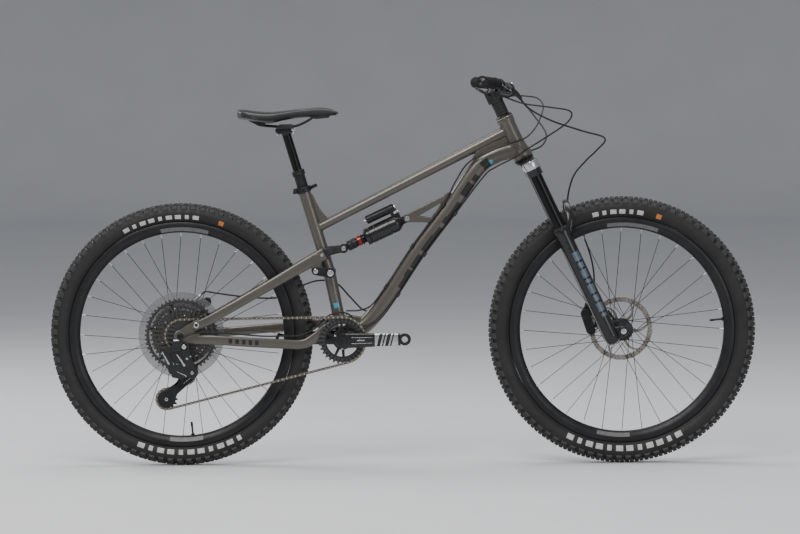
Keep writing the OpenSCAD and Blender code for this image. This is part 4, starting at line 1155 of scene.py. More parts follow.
def build_rocker():
    plate = link_plate(ROCKER, 14, STAY_PIVOT, 11, 42.4, 49, 1.6, 20)
    near, far = [flat(ROCKER + (STAY_PIVOT - ROCKER) * share) for share in (0.25, 0.8)]
    rib = prism(link_outline(near, 5.5, far, 4), 48.4, 50.2, 0.8)
    ring = revolved([(6, 0), (13.2, 0), (13.6, 0.8), (13, 2.2), (11, 2.5), (9.8, 1.5), (6, 1.5)],
                    ROCKER * (1, 0, 1) + Y * 48.6, Y, 56)
    small = revolved([(4, 0), (9.6, 0), (10, 0.6), (9.4, 2.2), (7.6, 2.4), (6.8, 1.4), (4, 1.4)],
                     STAY_PIVOT * (1, 0, 1) + Y * 48.6, Y, 48)
    piece("rocker_plates", both(join(plate, rib, ring, small)), ANODISED, "rocker", ("rocker_link",))
    axle = along_y(ROCKER, 6, -49, 49, 32)
    heads = [hexagon_bolt(ROCKER * (1, 0, 1) + Y * s * 49.6, Y * s, 9, 2.1) for s in (1, -1)]
    heads += [hexagon_bolt(STAY_PIVOT * (1, 0, 1) + Y * s * 49.6, Y * s, 6.6, 2.2) for s in (1, -1)]
    piece("rocker_bolts", join(*heads, axle), SILVER, "rocker")


SHOCK_DIR = unit(EYE_FRONT * (1, 0, 1) - EYE_REAR * (1, 0, 1))
SHOCK_UP = np.array([-SHOCK_DIR[2], 0, SHOCK_DIR[0]])


def on_shock(x, y, z):
    return EYE_REAR * (1, 0, 1) + (SHOCK_DIR * x + Y * y + SHOCK_UP * z)


def shock_turned(profile, z=0.0, n=64):
    return revolved(profile, on_shock(0, 0, z), SHOCK_DIR, n, closed=False)


def build_shock_can():
    can = [(0.01, 165), (15.5, 165), (15.5, 67.2), (16, 66.6), (17, 67.2), (21, 69.2), (24, 70.3), (24.8, 71.8),
           (24.8, 81), (24.2, 81.6), (23.4, 82.2), (23.4, 84.2), (24.4, 85), (25, 85.8), (25, 101), (24.6, 101.6),
           (24.6, 102.6), (25, 103.2), (25, 144), (24.4, 144.8), (24.4, 146.6), (25, 147.4), (25, 163),
           (24.2, 167.5), (21, 172.5), (16.5, 177), (13.4, 181.5), (12, 183), (0.01, 183)]
    head = prism([(174, -10), (183, -11), (192, -10.5), (197, -7), (197, 7), (192, 10.5), (183, 11), (174, 10)],
                 -8.8, 8.8, 1.2, lambda u, v, h: on_shock(u, h, v))
    length = np.linalg.norm(EYE_FRONT - EYE_REAR)
    eye = revolved([(4.1, -12), (11.2, -12), (12, -11.2), (12, 11.2), (11.2, 12), (4.1, 12)],
                   on_shock(length, 0, 0), Y, 48)
    piece("shock_can", join(shock_turned(can), head, eye), GLOSS, "damper_body", ("shock_body",),
          angle=30)


def build_shock_reservoir():
    tank = [(0.01, 91), (8, 91), (10.4, 91.6), (11.8, 93), (12, 95), (12, 108), (11.6, 108.6), (11.6, 109.6),
            (12, 110.2), (12, 160), (11.6, 160.8), (11.6, 162), (12, 162.6), (12, 172), (11.4, 175.5), (9, 178),
            (0.01, 178)]
    neck = prism([(161, 9), (183, 9), (184, 22), (180, 36), (176, 41), (162, 41), (160, 30)], -10.5, 10.5, 2.2,
                 lambda u, v, h: on_shock(u, h, v))
    piece("shock_reservoir", join(shock_turned(tank, 44), neck), ANODISED, "damper_body", angle=30)
    knob = [(0.01, 177.5), (6.5, 177.5), (7.4, 178.4), (7.4, 181.4), (6.8, 182.2), (5, 182.4), (0.01, 182.4)]
    lever = prism([(170, -3.4), (186, -2.4), (188, 0), (186, 2.4), (170, 3.4)], 11, 14, 0.8,
                  lambda u, v, h: on_shock(u, -h, v + 30))
    piece("shock_dials", join(shock_turned(knob, 44, 32), lever), SILVER, "damper_body")
    valve_ = [(0.01, 84.5), (3.2, 84.5), (3.8, 85.2), (3.8, 90.5), (0.01, 91.2)]
    piece("shock_valve_cap", shock_turned(valve_, 44, 24), SILVER, "damper_body")


def build_shock_shaft():
    shaft = [(0.01, 8), (9, 8), (9, 15), (13, 15.2), (13, 106), (0.01, 106)]
    rear_eye = revolved([(4, -12), (12.2, -12), (13, -11.2), (13, 11.2), (12.2, 12), (4, 12)], on_shock(0, 0, 0), Y,
                        48)
    piece("shock_rod", shock_turned(shaft), STANCHION, "damper_shaft", ("shock_shaft",))
    foot = [(0.01, 12), (12.4, 12), (13.2, 13), (14.4, 15), (14.4, 25), (14.0, 25.6), (14.0, 26.4), (14.4, 27),
            (14.4, 38), (13.6, 40), (13, 40.2), (0.01, 40.2)]
    dial = [(13, 45), (14.6, 45), (15.2, 45.8), (15.2, 54.2), (14.6, 55), (13, 55)]
    piece("shock_foot", join(rear_eye, shock_turned(foot)), ANODISED, "damper_shaft")
    piece("shock_dial_red", revolved(dial, on_shock(0, 0, 0), SHOCK_DIR, 48), RED, "damper_shaft")
    ring = revolved([(13.0, 58), (14.6, 58.4), (14.9, 59.5), (14.6, 60.6), (13.0, 61)], on_shock(0, 0, 0),
                    SHOCK_DIR, 40)
    piece("shock_o_ring", ring, GRIP_RUBBER, "damper_shaft")


def build_shock_mount():
    upper, lower, eye = at(301, 403), at(256, 334), EYE_FRONT * (1, 0, 1)
    arms = [link_plate(eye, 11, upper, 6.2, 12.6, 18, 1.4), link_plate(eye, 10.7, lower, 6.2, 12.85, 17.75, 1.4)]
    foot = link_plate(upper, 7.5, lower, 7.5, -17.4, 17.4, 2)
    cross = [link_plate(at(222, 358), 4.2, at(236, 364), 4.2, -13, 13, 1), ]
    piece("shock_mount_arms", join(both(join(*arms)), foot, *cross), PAINT, "frame",
          ("shock_mount",), angle=45)
    bolts = [hexagon_bolt(eye + Y * s * 17.8, Y * s, 6.6, 3.0) for s in (1, -1)]
    piece("shock_mount_bolts", join(*bolts, along_y(eye, 4, -18, 18, 20)), SILVER, "frame")
    bead = weld_bead([p for p in curve([at(284, 396, -18.6), at(297, 410, -18.6), at(306, 404, -18.6),
                                        at(262, 332, -18.6), at(250, 328, -18.6)], 12)], 1.3, closed=False)
    piece("mount_weld", both(bead), WELD, "frame", angle=60)


build_chainstays()
build_stay_blocks()
build_rear_axle_ends()
build_rear_caliper()
build_seatstay()
build_rocker()
build_shock_can()
build_shock_reservoir()
build_shock_shaft()
build_shock_mount()


# ------------------------------------------------------------------ fork

LEG_X, LEG_Y = 8, 70


def leg_turned(profile, side, n=64):
    return revolved(profile, steer_pt(LEG_X, 0, side * LEG_Y), STEER_UP, n, closed=False)


def steer_turned(profile, n=64, closed=True):
    return revolved(profile, STEER, STEER_UP, n, closed=closed)


def build_fork_crown():
    sleeve = [(17.6, -58), (21.6, -58), (22.5, -57), (22.5, -18), (21.8, -15.5), (19.5, -14), (0.01, -13.6),
              (0.01, -20), (17.6, -20)]
    crown_path = curve([steer_pt(LEG_X, -25, -LEG_Y), steer_pt(7.5, -23, -56), steer_pt(4.5, -16, -34),
                        steer_pt(1.0, -12.5, -14), steer_pt(0.5, -12.2, 0), steer_pt(1.0, -12.5, 14),
                        steer_pt(4.5, -16, 34), steer_pt(7.5, -23, 56), steer_pt(LEG_X, -25, LEG_Y)], 8)
    m = len(crown_path)
    spread = np.abs(np.linspace(-1, 1, m))
    crown = swept(crown_path, 25.5 - 4.5 * spread ** 1.5, 8.0 + 3.6 * spread, STEER_OUT, 36, power=0.66)
    # Silver bands round the crown's leg sockets: a painted highlight standing for the whitish ring on the glossy
    # crown.
    highlight_bands = [leg_turned([(0.01, -38), (22.6, -38), (23, -37.4), (23, -17.4), (22.2, -15), (19.6, -13.4),
                         (0.01, -13.2)], s) for s in (-1, 1)]
    piece("fork_crown_painted_highlight_bands", join(*highlight_bands), SILVER, "steering")
    race = steer_turned([(14.4, -8), (26.5, -8), (28, -6.9), (28, -5.1), (27.4, -4.3), (14.4, -4.3)])
    steerer = steer_turned([(11.8, -18), (14.3, -18), (14.3, 210), (11.8, 210)], 40)
    piece("fork_crown", join(crown, *[leg_turned(sleeve, s) for s in (-1, 1)]), GLOSS, "steering",
          ("fork_upper",), angle=45)
    piece("fork_crown_race", join(race, steerer), ANODISED, "steering")


def build_stanchions():
    tube = [(0.01, -376), (17.5, -376), (17.5, -20), (0.01, -20)]
    piece("fork_stanchions", join(*[leg_turned(tube, s, 72) for s in (-1, 1)]), STANCHION, "steering")
    caps = []
    for s in (-1, 1):
        base = steer_pt(LEG_X, -14, s * LEG_Y)
        caps.append(hexagon_bolt(base, STEER_UP, 13.5, 2.6))
    piece("fork_top_caps", join(*caps), ANODISED, "steering")


def build_fork_lowers():
    lower = [(0.01, -579), (6, -579), (7, -577.5), (13, -576), (17, -573), (20.4, -566), (21.5, -556), (21.5, -330),
             (21.3, -300), (21.5, -262), (22.3, -246), (23, -240), (23, -226.5), (22.2, -224.5), (18, -224),
             (17.6, -224), (17.6, -230), (0.01, -230)]
    wiper = [(17.6, -224.5), (20.6, -224.5), (20.9, -222.5), (19.6, -219.5), (18.4, -217.8), (17.6, -217.4)]
    arch_half = [steer_pt(54, -162, 0), steer_pt(53, -168, 34), steer_pt(49, -186, 54), steer_pt(41, -212, 66),
                 steer_pt(20, -240, 70)]
    path = curve([p * (1, -1, 1) for p in arch_half[:0:-1]] + arch_half, 8)
    spread = np.abs(np.linspace(-1, 1, len(path)))
    arch = swept(path, 8.2 + 2.4 * spread, 6.2 + 2.2 * spread, X, 28, power=0.62)
    feet = []
    for s in (-1, 1):
        a = steer_pt(LEG_X, -550.5)
        b = FRONT
        foot = prism(link_outline(flat(a), 20, flat(b), 15, 16), 55.3, 78, 3)
        boss = along_y(FRONT, 12.5, 54.6, 78.8, 48, 1)
        feet.append(on_side(join(foot, boss), s))
    piece("fork_lower_legs", join(*[leg_turned(lower, s, 72) for s in (-1, 1)], arch, *feet), GLOSS, "fork_lower",
          ("fork_lowers",), angle=45)
    piece("fork_wipers", join(*[revolved(wiper, steer_pt(LEG_X, 0, s * LEG_Y), STEER_UP, 56) for s in (-1, 1)]),
          RUBBER, "fork_lower")


def build_fork_strokes():
    """Slate strokes on the outside of both legs, in place of lettering."""
    marks = []
    for s in (-1, 1):
        for z0, z1, w0, w1 in ((-296, -322, -0.1, 0.85), (-328, -344, 0.0, 0.8), (-350, -374, -0.1, 0.8),
                               (-380, -390, 0.0, 0.78), (-396, -422, -0.1, 0.82), (-428, -446, 0.0, 0.78),
                               (-452, -478, -0.1, 0.8), (-484, -494, 0.0, 0.75)):
            def skin(z, w, s=s):
                d = STEER_OUT * math.sin(w) + Y * s * math.cos(w)
                return steer_pt(LEG_X, z, s * LEG_Y) + d * 21.5
            marks.append(skin_block(skin, (z0, z1), (w0, w1), lambda z, s=s: steer_pt(LEG_X, z, s * LEG_Y), 4, 8,
                                    0.3))
    piece("fork_strokes", join(*marks), BLUE_MARK, "fork_lower", angle=60)


def build_front_axle():
    ends = [along_y(FRONT, 9.6, 78.4, 84.2, 44, 1.4), mirrored(along_y(FRONT, 11.4, 78.4, 82.4, 44, 1.2)),
            along_y(FRONT, 7.4, -80, 80, 36)]
    handle = swept(curve([FRONT + np.array([0, 83, 0]), FRONT + np.array([-10, 86.8, 14]),
                          FRONT + np.array([-24, 86, 34]), FRONT + np.array([-34, 84, 48])], 6), 3.4, [4.6] * 19, X,
                   16, power=0.8)
    piece("front_axle_parts", join(*ends, handle), ANODISED, "fork_lower", ("front_axle",))
    socket = hexagon_bolt(FRONT * (1, 0, 1) - Y * 82.2, -Y, 7.6, 1.6)
    rebound = [hexagon_bolt(steer_pt(LEG_X, -578.5, s * LEG_Y), -STEER_UP, 6.0, 3.4) for s in (-1, 1)]
    piece("fork_bolts", join(socket, *rebound), SILVER, "fork_lower")


def build_front_caliper():
    """Front caliper on the left leg."""
    a, b = np.array([517, 0, 418]), np.array([532, 0, 372])
    halves = [link_plate(a, 13, b, 13, 35.2, 40.2, 1.5), link_plate(a, 13, b, 13, 46.8, 57.8, 2.2)]
    bridge = prism(link_outline(flat(a) + (-4.5, 1), 8, flat(b) + (-4.5, -1), 8), 39, 48, 1)
    pot = along_y((a + b) / 2, 11, 56, 60, 40, 1.4)
    piece("front_caliper_body", join(*halves, bridge, pot), ANODISED, "fork_lower",
          ("front_caliper",))
    mount = prism([flat(p) for p in (steer_pt(-12, -452), steer_pt(-30, -462), steer_pt(-32, -520),
                                         steer_pt(-14, -528), steer_pt(-8, -500))], 54, 62, 2)
    piece("caliper_post", mount, GLOSS, "fork_lower")
    bolts = [hexagon_bolt(p + Y * 57.8, Y, 4.4, 3.4) for p in (a, b)]
    piece("front_caliper_bolts", join(*bolts), SILVER, "fork_lower")


# ------------------------------------------------------------------ cockpit

BAR = steer_pt(40, HEAD_LEN + 65.4)
BAR_BEND = BAR + np.array([-38.5, 0, 18]) + Y * 240
BAR_END = BAR + np.array([-80, 0, 23]) + Y * 390
GRIP = BAR_BEND + (BAR_END - BAR_BEND) * 0.1
CONTROL = BAR_BEND - (BAR_END - BAR_BEND) * 0.1
SWEEP = math.atan2(BAR_BEND[0] - BAR_END[0], BAR_END[1] - BAR_BEND[1])
TILT = math.radians(37)


def on_bar(side):
    """A function from local mm (forward and down, outboard, up) to a point; side is -1 on the right."""
    def place(x, y, z):
        x, z = x * math.cos(TILT) + z * math.sin(TILT), -x * math.sin(TILT) + z * math.cos(TILT)
        x, y = x * math.cos(SWEEP) - y * math.sin(SWEEP), x * math.sin(SWEEP) + y * math.cos(SWEEP)
        p = CONTROL + np.array([x, y, z])
        return p * (1, side, 1)
    return place


def bar_plate(side, outline, z0, z1, ease=0.8):
    place = on_bar(side)
    return prism(outline, z0, z1, ease, lambda u, v, h: place(u, v, h))


def clamp_band(side, y, w):
    place, r = on_bar(side), 15.0
    a, b = place(0, y - w / 2, 0), place(0, y + w / 2, 0)
    return revolved([(11.2, 0), (r - 0.8, 0), (r, 0.8), (r, w - 0.8), (r - 0.8, w), (11.2, w)], a, b - a, 44)


def build_bar():
    half = [BAR, BAR + Y * 45, BAR + np.array([-5, 100, 7]), BAR + np.array([-18, 165, 14]), BAR_BEND, BAR_END]
    path = curve(half, 14)
    path = np.vstack([(path * (1, -1, 1))[:0:-1], path])
    r = [(15.9 - 4.8 * min(1, max(0, (abs(p[1]) - 45) / 90))) for p in path]
    piece("bar", swept(path, r, r, Z, 36), MATT_ALLOY, "steering", ("handlebar",), angle=45)
    length = np.linalg.norm(BAR_END - GRIP)
    d = unit(BAR_END - GRIP)
    shape = [(11.2, 0), (16.0, 0), (16.5, 0.6), (16.5, 8), (16.0, 8.6), (15.0, 9.2)]
    z = 11.0
    while z < length - 14:
        shape += [(14.6, z), (15.6, z + 0.5), (15.6, z + 2.0), (14.6, z + 2.5)]
        z += 3.4
    shape += [(15.2, length - 9), (16.2, length - 8), (16.5, length - 5), (16.3, length - 1), (15, length),
              (11.2, length)]
    grip = revolved([(a, b) for a, b in shape], GRIP, d, 56)
    piece("grip_sleeves", both(grip), GRIP_RUBBER, "steering", ("grips",), angle=40)
    plug = revolved([(0.01, 0), (10.6, 0), (11.1, 0.5), (11.1, 1.4), (10, 2.2), (0.01, 2.6)], BAR_END - d * 1.5, d,
                    40, closed=False)
    ring = revolved([(16.3, 2.4), (16.75, 2.7), (16.75, 6.2), (16.3, 6.5)], GRIP, d, 48)
    piece("grip_ends", both(join(plug, ring)), ANODISED, "steering")
    clamp_screw = hexagon_bolt(GRIP + d * 4.4 + unit(np.cross(d, X)) * 16.2, unit(np.cross(d, X)), 2.6, 1.2)
    piece("grip_screws", both(clamp_screw), SILVER, "steering")


def build_stem():
    z = HEAD_LEN + 65.4
    clamp = steer_turned([(14.35, z - 20), (17.6, z - 20), (18.5, z - 19), (18.5, z + 19), (17.6, z + 20),
                          (14.35, z + 20)], 56)
    cap = steer_turned([(0.01, z + 20.2), (17.4, z + 20.2), (18, z + 21), (17, z + 23), (14, z + 24.2),
                        (4.2, z + 24.2), (4, z + 22.6), (0.01, z + 22.6)], 56, closed=False)
    body_path = [steer_pt(6, z), steer_pt(14, z), steer_pt(22, z), steer_pt(28, z)]
    body = swept(body_path, [15.5, 14.5, 15, 19], [15, 13.8, 14.2, 16.5], Y, 32, power=0.62)
    bar_band = revolved([(15.95, -25), (20.7, -25), (21.5, -24.2), (21.5, 24.2), (20.7, 25), (15.95, 25)], BAR, Y,
                        64)
    back = prism([(-24, -16.5), (-12, -17.5), (-12, 17.5), (-24, 16.5)], -11.5, 11.5, 1.5,
                 lambda u, v, h: steer_pt(u, z + v, h))
    face = prism([(52.5, -17), (58.5, -12), (61, 0), (58.5, 12), (52.5, 17)], -24, 24, 2,
                 lambda u, v, h: steer_pt(u, z + v, h))
    piece("stem_body", join(clamp, body, bar_band, back, face), MATT_ALLOY, "steering", ("stem",),
          angle=40)
    piece("stem_cap", cap, ANODISED, "steering")
    bolts = [hexagon_bolt(steer_pt(59, z + v, h), STEER_OUT, 3.6, 2.8) for v in (-11, 11) for h in (-18, 18)]
    bolts += [hexagon_bolt(steer_pt(-18, z + v, 11.5), Y, 3.6, 2.6) for v in (-9, 9)]
    bolts.append(hexagon_bolt(steer_pt(0, z + 22.4), STEER_UP, 4, 2.4))
    piece("stem_bolts", join(*bolts), SILVER, "steering")
    rings = []
    for k in range(4):
        z0 = HEAD_LEN + 8.1 + k * 9.3
        rings.append(steer_turned([(14.35, z0), (17.3, z0), (18, z0 + 0.7), (18, z0 + 8.4), (17.3, z0 + 9.1),
                                   (14.35, z0 + 9.1)], 56))
    piece("stem_spacers", join(*rings), MATT_ALLOY, "steering", ("headset_spacers",))
    top = steer_turned([(14.4, HEAD_LEN + 0.1), (24.2, HEAD_LEN + 0.1), (24.5, HEAD_LEN + 0.8),
                        (24, HEAD_LEN + 2.6), (21, HEAD_LEN + 5.6), (18.6, HEAD_LEN + 7.4), (17.8, HEAD_LEN + 8),
                        (14.4, HEAD_LEN + 8)], 64)
    low = steer_turned([(14.4, -4), (27.4, -4), (28, -3.4), (28, -0.8), (27.4, -0.1), (14.4, -0.1)], 64)
    piece("headset_caps", join(top, low), ANODISED, "frame", ("headset_cups",))
    glint = steer_turned([(24.1, HEAD_LEN - 1.6), (24.85, HEAD_LEN - 1.3), (24.85, HEAD_LEN - 0.1),
                          (24.1, HEAD_LEN + 0.2)], 64)
    piece("headset_glint", glint, SILVER, "frame")


def build_brakes():
    for side, name in ((-1, "right"), (1, "left")):
        place = on_bar(side)
        cyl = revolved([(0.01, 0), (6.2, 0), (8, 1.2), (9.5, 6), (9.5, 40), (9.0, 44), (8.0, 48), (5, 50),
                        (0.01, 50)], place(24, -42, 3), place(28, 8, 3) - place(24, -42, 3), 40, closed=False)
        tank = bar_plate(side, [(17, -36), (30, -37), (35, -30), (37, -8), (33, 0), (19, 0), (15, -10)], 6, 14.5,
                         1.8)
        lid = bar_plate(side, [(19, -33), (29.5, -34), (33, -28), (34.5, -9), (31.5, -3), (20.5, -3), (17.5, -10)],
                        14.2, 15.6, 0.6)
        neck = bar_plate(side, [(12, -5.5), (27, -6), (27, 6), (12, 5.5)], -6.5, 6.5, 1.2)
        ears = [bar_plate(side, link_outline((36, 6), 9, (28, 4), 8.5), z0, z1, 0.8)
                for z0, z1 in ((-9, -5.2), (5.2, 9))]
        back = bar_plate(side, [(22, -4), (33, -4), (33, 14), (22, 12)], -8.5, 8.5, 1.2)
        piece("brake_housing_" + name, join(cyl, tank, neck, *ears, back, clamp_band(side, 0, 11)), GLOSS,
              "steering", ("brake_body_" + name,))
        piece("brake_lid_" + name, lid, PLASTIC, "steering")
        screws = [hexagon_bolt(place(u, v, 15.4), place(0, 0, 1) - place(0, 0, 0), 1.9, 0.9)
                  for u, v in ((22, -30), (31, -11))]
        screws.append(hexagon_bolt(place(42, 6, 8.8), place(0, 0, 1) - place(0, 0, 0), 3.4, 1.3))
        screws.append(hexagon_bolt(place(15.5, 0, 6), place(0, 0, 1) - place(0, 0, 0), 2.4, 1.2))
        piece("brake_screws_" + name, join(*screws), SILVER, "steering")
        blade = curve([(42, 6, 0), (45.5, 22, 0), (46.5, 40, 0), (44.5, 62, 0), (41.5, 84, 0), (39.6, 101, 0),
                       (39.4, 109, 0)], 6)
        path = [place(*p) for p in blade]
        m = len(path)
        half_w = [(5.6 - 1.6 * min(1, k / (m * 0.45)) + (1.4 if k > m * 0.9 else 0)) for k in range(m)]
        lever = swept(path, 4.3, half_w, place(0, 0, 1) - place(0, 0, 0), 24, power=0.72)
        root = bar_plate(side, link_outline((42, 6), 6.4, (45, 24), 5), -4.4, 4.4, 1.0)
        hook = rod(place(39.5, 109, -4.2), place(39.5, 109, 4.2), 4.6, n=28, round_end=1.4)
        piece("brake_blade_" + name, join(lever, root, hook), ANODISED, "lever_" + name,
              ("brake_lever_" + name,))
        boot = rod(place(24, -42, 3), place(20.5, -66, 3), 4.8, 3.3, 24, 0.8)
        piece("hose_boot_" + name, boot, RUBBER, "steering")


def build_shifters():
    place = on_bar(-1)
    case = revolved([(0.01, 0), (12, 0), (15.4, 1.4), (17, 4.4), (17, 16), (15.6, 19.4), (11, 21), (0.01, 21)],
                    place(6, -16, -38), place(6, -16, -17) - place(6, -16, -38), 44, closed=False)
    barrel = rod(place(6, -16, -27), place(13, -34, -27), 6, 5, 28, 0.8)
    knob = rod(place(12.6, -33, -27), place(16.2, -42, -27), 4.4, 3.4, 18, 0.6)
    lug = bar_plate(-1, [(-4, -25), (8, -25), (8, -15), (-4, -15)], -18, -12, 1)
    pin_ = rod(place(4, -14, -44), place(4, -14, -36), 3, n=24, round_end=0.5)
    piece("shifter_case", join(case, barrel, lug, clamp_band(-1, -20, 10), pin_, knob), PLASTIC, "steering",
          ("shifter_body",))
    outline = link_outline((4, -14), 8, (-22, 16), 6.5)
    pad = bar_plate(-1, link_outline((-17, 10), 7, (-23, 17), 7), -43.4, -37.4, 1.4)
    piece("shift_thumb", join(bar_plate(-1, outline, -42.4, -38.6, 0.8), pad), PLASTIC, "shift_lever",
          ("shift_paddle",))
    place = on_bar(1)
    case = revolved([(0.01, 0), (8.4, 0), (10.4, 1.2), (11, 3), (11, 14), (9.6, 17), (0.01, 17)],
                    place(4, -18, -34), place(4, -18, -17) - place(4, -18, -34), 40, closed=False)
    barrel = rod(place(6, -18, -27), place(13, -34, -27), 5, 4.2, 24, 0.8)
    lug = bar_plate(1, [(-4, -25), (8, -25), (8, -15), (-4, -15)], -18, -12, 1)
    pin_ = rod(place(4, -14, -40), place(4, -14, -33), 3, n=24, round_end=0.5)
    piece("remote_case", join(case, barrel, lug, clamp_band(1, -20, 10), pin_), PLASTIC, "steering",
          ("dropper_remote",))
    outline = link_outline((4, -14), 7, (-24, 14), 7.5)
    pad = bar_plate(1, link_outline((-19, 9), 7.6, (-25, 15), 7.6), -39.4, -33.8, 1.4)
    piece("remote_thumb", join(bar_plate(1, outline, -38.4, -34.6, 0.8), pad), PLASTIC, "remote_lever",
          ("dropper_lever",))


build_fork_crown()
build_stanchions()
build_fork_lowers()
build_fork_strokes()
build_front_axle()
build_front_caliper()
build_bar()
build_stem()
build_brakes()
build_shifters()


# ------------------------------------------------------------------ drivetrain

PITCH = 12.7
CHAIN_Y = box_centre("chain")[1]
GUIDE, TENSION = joint_at("guide_spin"), joint_at("tension_spin")
CAGE_PIVOT = joint_at("cage_swing")
HANGER = at(-442, -13)
COGS = [11, 13, 15, 17, 19, 22, 25, 28, 32, 36, 42, 50]
COG_LOW, COG_STEP = CHAIN_Y - 5 * 3.55, 3.55


def pitch_r(teeth):
    return PITCH / 2 / math.sin(math.pi / teeth)


def tooth_ring(centre, teeth, y, thick, r_in, narrow=0.0, tall=3.1):
    """A toothed ring: eased tooth tips outside, a round opening of radius r_in inside."""
    r = pitch_r(teeth)
    step = 2 * math.pi / teeth
    shape = [(-0.5, -3.7), (-0.34, -3.3), (-0.24, -1.2), (-0.17, 1.2), (-0.1, tall - 0.3), (0, tall),
             (0.1, tall - 0.3), (0.17, 1.2), (0.24, -1.2), (0.34, -3.3)]
    outer = []
    for k in range(teeth):
        for q, h in shape:
            outer.append(((k + q) * step, r + (h if h < 0 else h * (1 - narrow * (k % 2))), h))
    n = len(outer)
    verts = []
    for height in (-thick / 2, thick / 2):
        for w, rr, h in outer:
            pull = 0.32 if h > 1 else 1.0
            verts.append(wheel_point(centre * (1, 0, 1), rr, w, y + height * pull))
    for height in (thick / 2, -thick / 2):
        for w, rr, h in outer:
            verts.append(wheel_point(centre * (1, 0, 1), max(r_in, 0.1), w, y + height))
    # Rows: outer low, outer high, inner high, inner low.
    faces = grid_faces(4, n, wrap_rows=True)
    return verts, faces


def spoke_arm(centre, r0, r1, w, half0, half1, y0, y1, bend=0.0, ease=0.4):
    """A flat arm from radius r0 to r1 at angle w, in mm."""
    left, right = [], []
    for k in range(5):
        f = k / 4
        r = r0 + (r1 - r0) * f
        half = half0 + (half1 - half0) * f
        a = w + bend * math.sin(math.pi * f)
        left.append((centre[0] + r * math.cos(a + half / r), centre[2] + r * math.sin(a + half / r)))
        right.append((centre[0] + r * math.cos(a - half / r), centre[2] + r * math.sin(a - half / r)))
    return prism(left + right[::-1], y0, y1, ease)


def annulus(centre, r0, r1, y0, y1, n=64, ease=0.4):
    e = ease
    return revolved([(r0, y0), (r1 - e, y0), (r1, y0 + e), (r1, y1 - e), (r1 - e, y1), (r0, y1)],
                    centre * (1, 0, 1), Y, n)


def build_cassette():
    rings, arms = [], []
    for k, teeth in enumerate(COGS):
        y = COG_LOW + k * COG_STEP
        r = pitch_r(teeth)
        r_in = 17.8 if teeth < 19 else r - (9.0 if teeth < 32 else 10.5)
        rings.append(tooth_ring(REAR, teeth, y, 1.6, r_in))
        if teeth >= 19:
            count = 5 if teeth < 32 else 6
            for a in range(count):
                arms.append(spoke_arm(REAR, 18.2, r_in + 1.2, 2 * math.pi * a / count + 0.17 * k, 3.6, 4.6,
                                      y - 0.62, y + 0.62, 0.12, 0.2))
    core = annulus(REAR, 17.7, 18.9, COG_LOW - 1.4, COG_LOW + 11 * COG_STEP + 1.4)
    piece("cassette_rings", join(*rings), COG, "sprockets", ("cassette",), angle=32)
    piece("cassette_arms", join(core, *arms), ANODISED, "sprockets", angle=32)
    y = COG_LOW - 1.4
    lock = [annulus(REAR, 10.6, 17.4, y - 1.6, y + 0.8, 60)]
    for k in range(12):
        lock.append(spoke_arm(REAR, 10.4, 14, math.pi * k / 6, 1.0, 1.2, y - 2.4, y - 1.2, 0, 0.2))
    pins = []
    for k in range(6):
        for teeth, level in ((32, 7), (42, 9)):
            r = pitch_r(teeth) - 8
            c = wheel_point(REAR * (1, 0, 1), r, math.pi * k / 3 + 0.2 * level)
            yy = COG_LOW + level * COG_STEP
            pins.append(along_y(c, 1.9, yy - 1.3, yy + 4.6, 12, 0.4))
    piece("cassette_lock_ring", join(*lock, *pins), SILVER, "sprockets")
    y = COG_LOW + 11 * COG_STEP
    disc = [annulus(REAR, 34, 121, y + 2.3, y + 3.2, 128, 0.3)]
    piece("spoke_guard", join(*disc), SMOKY, "rear_wheel")


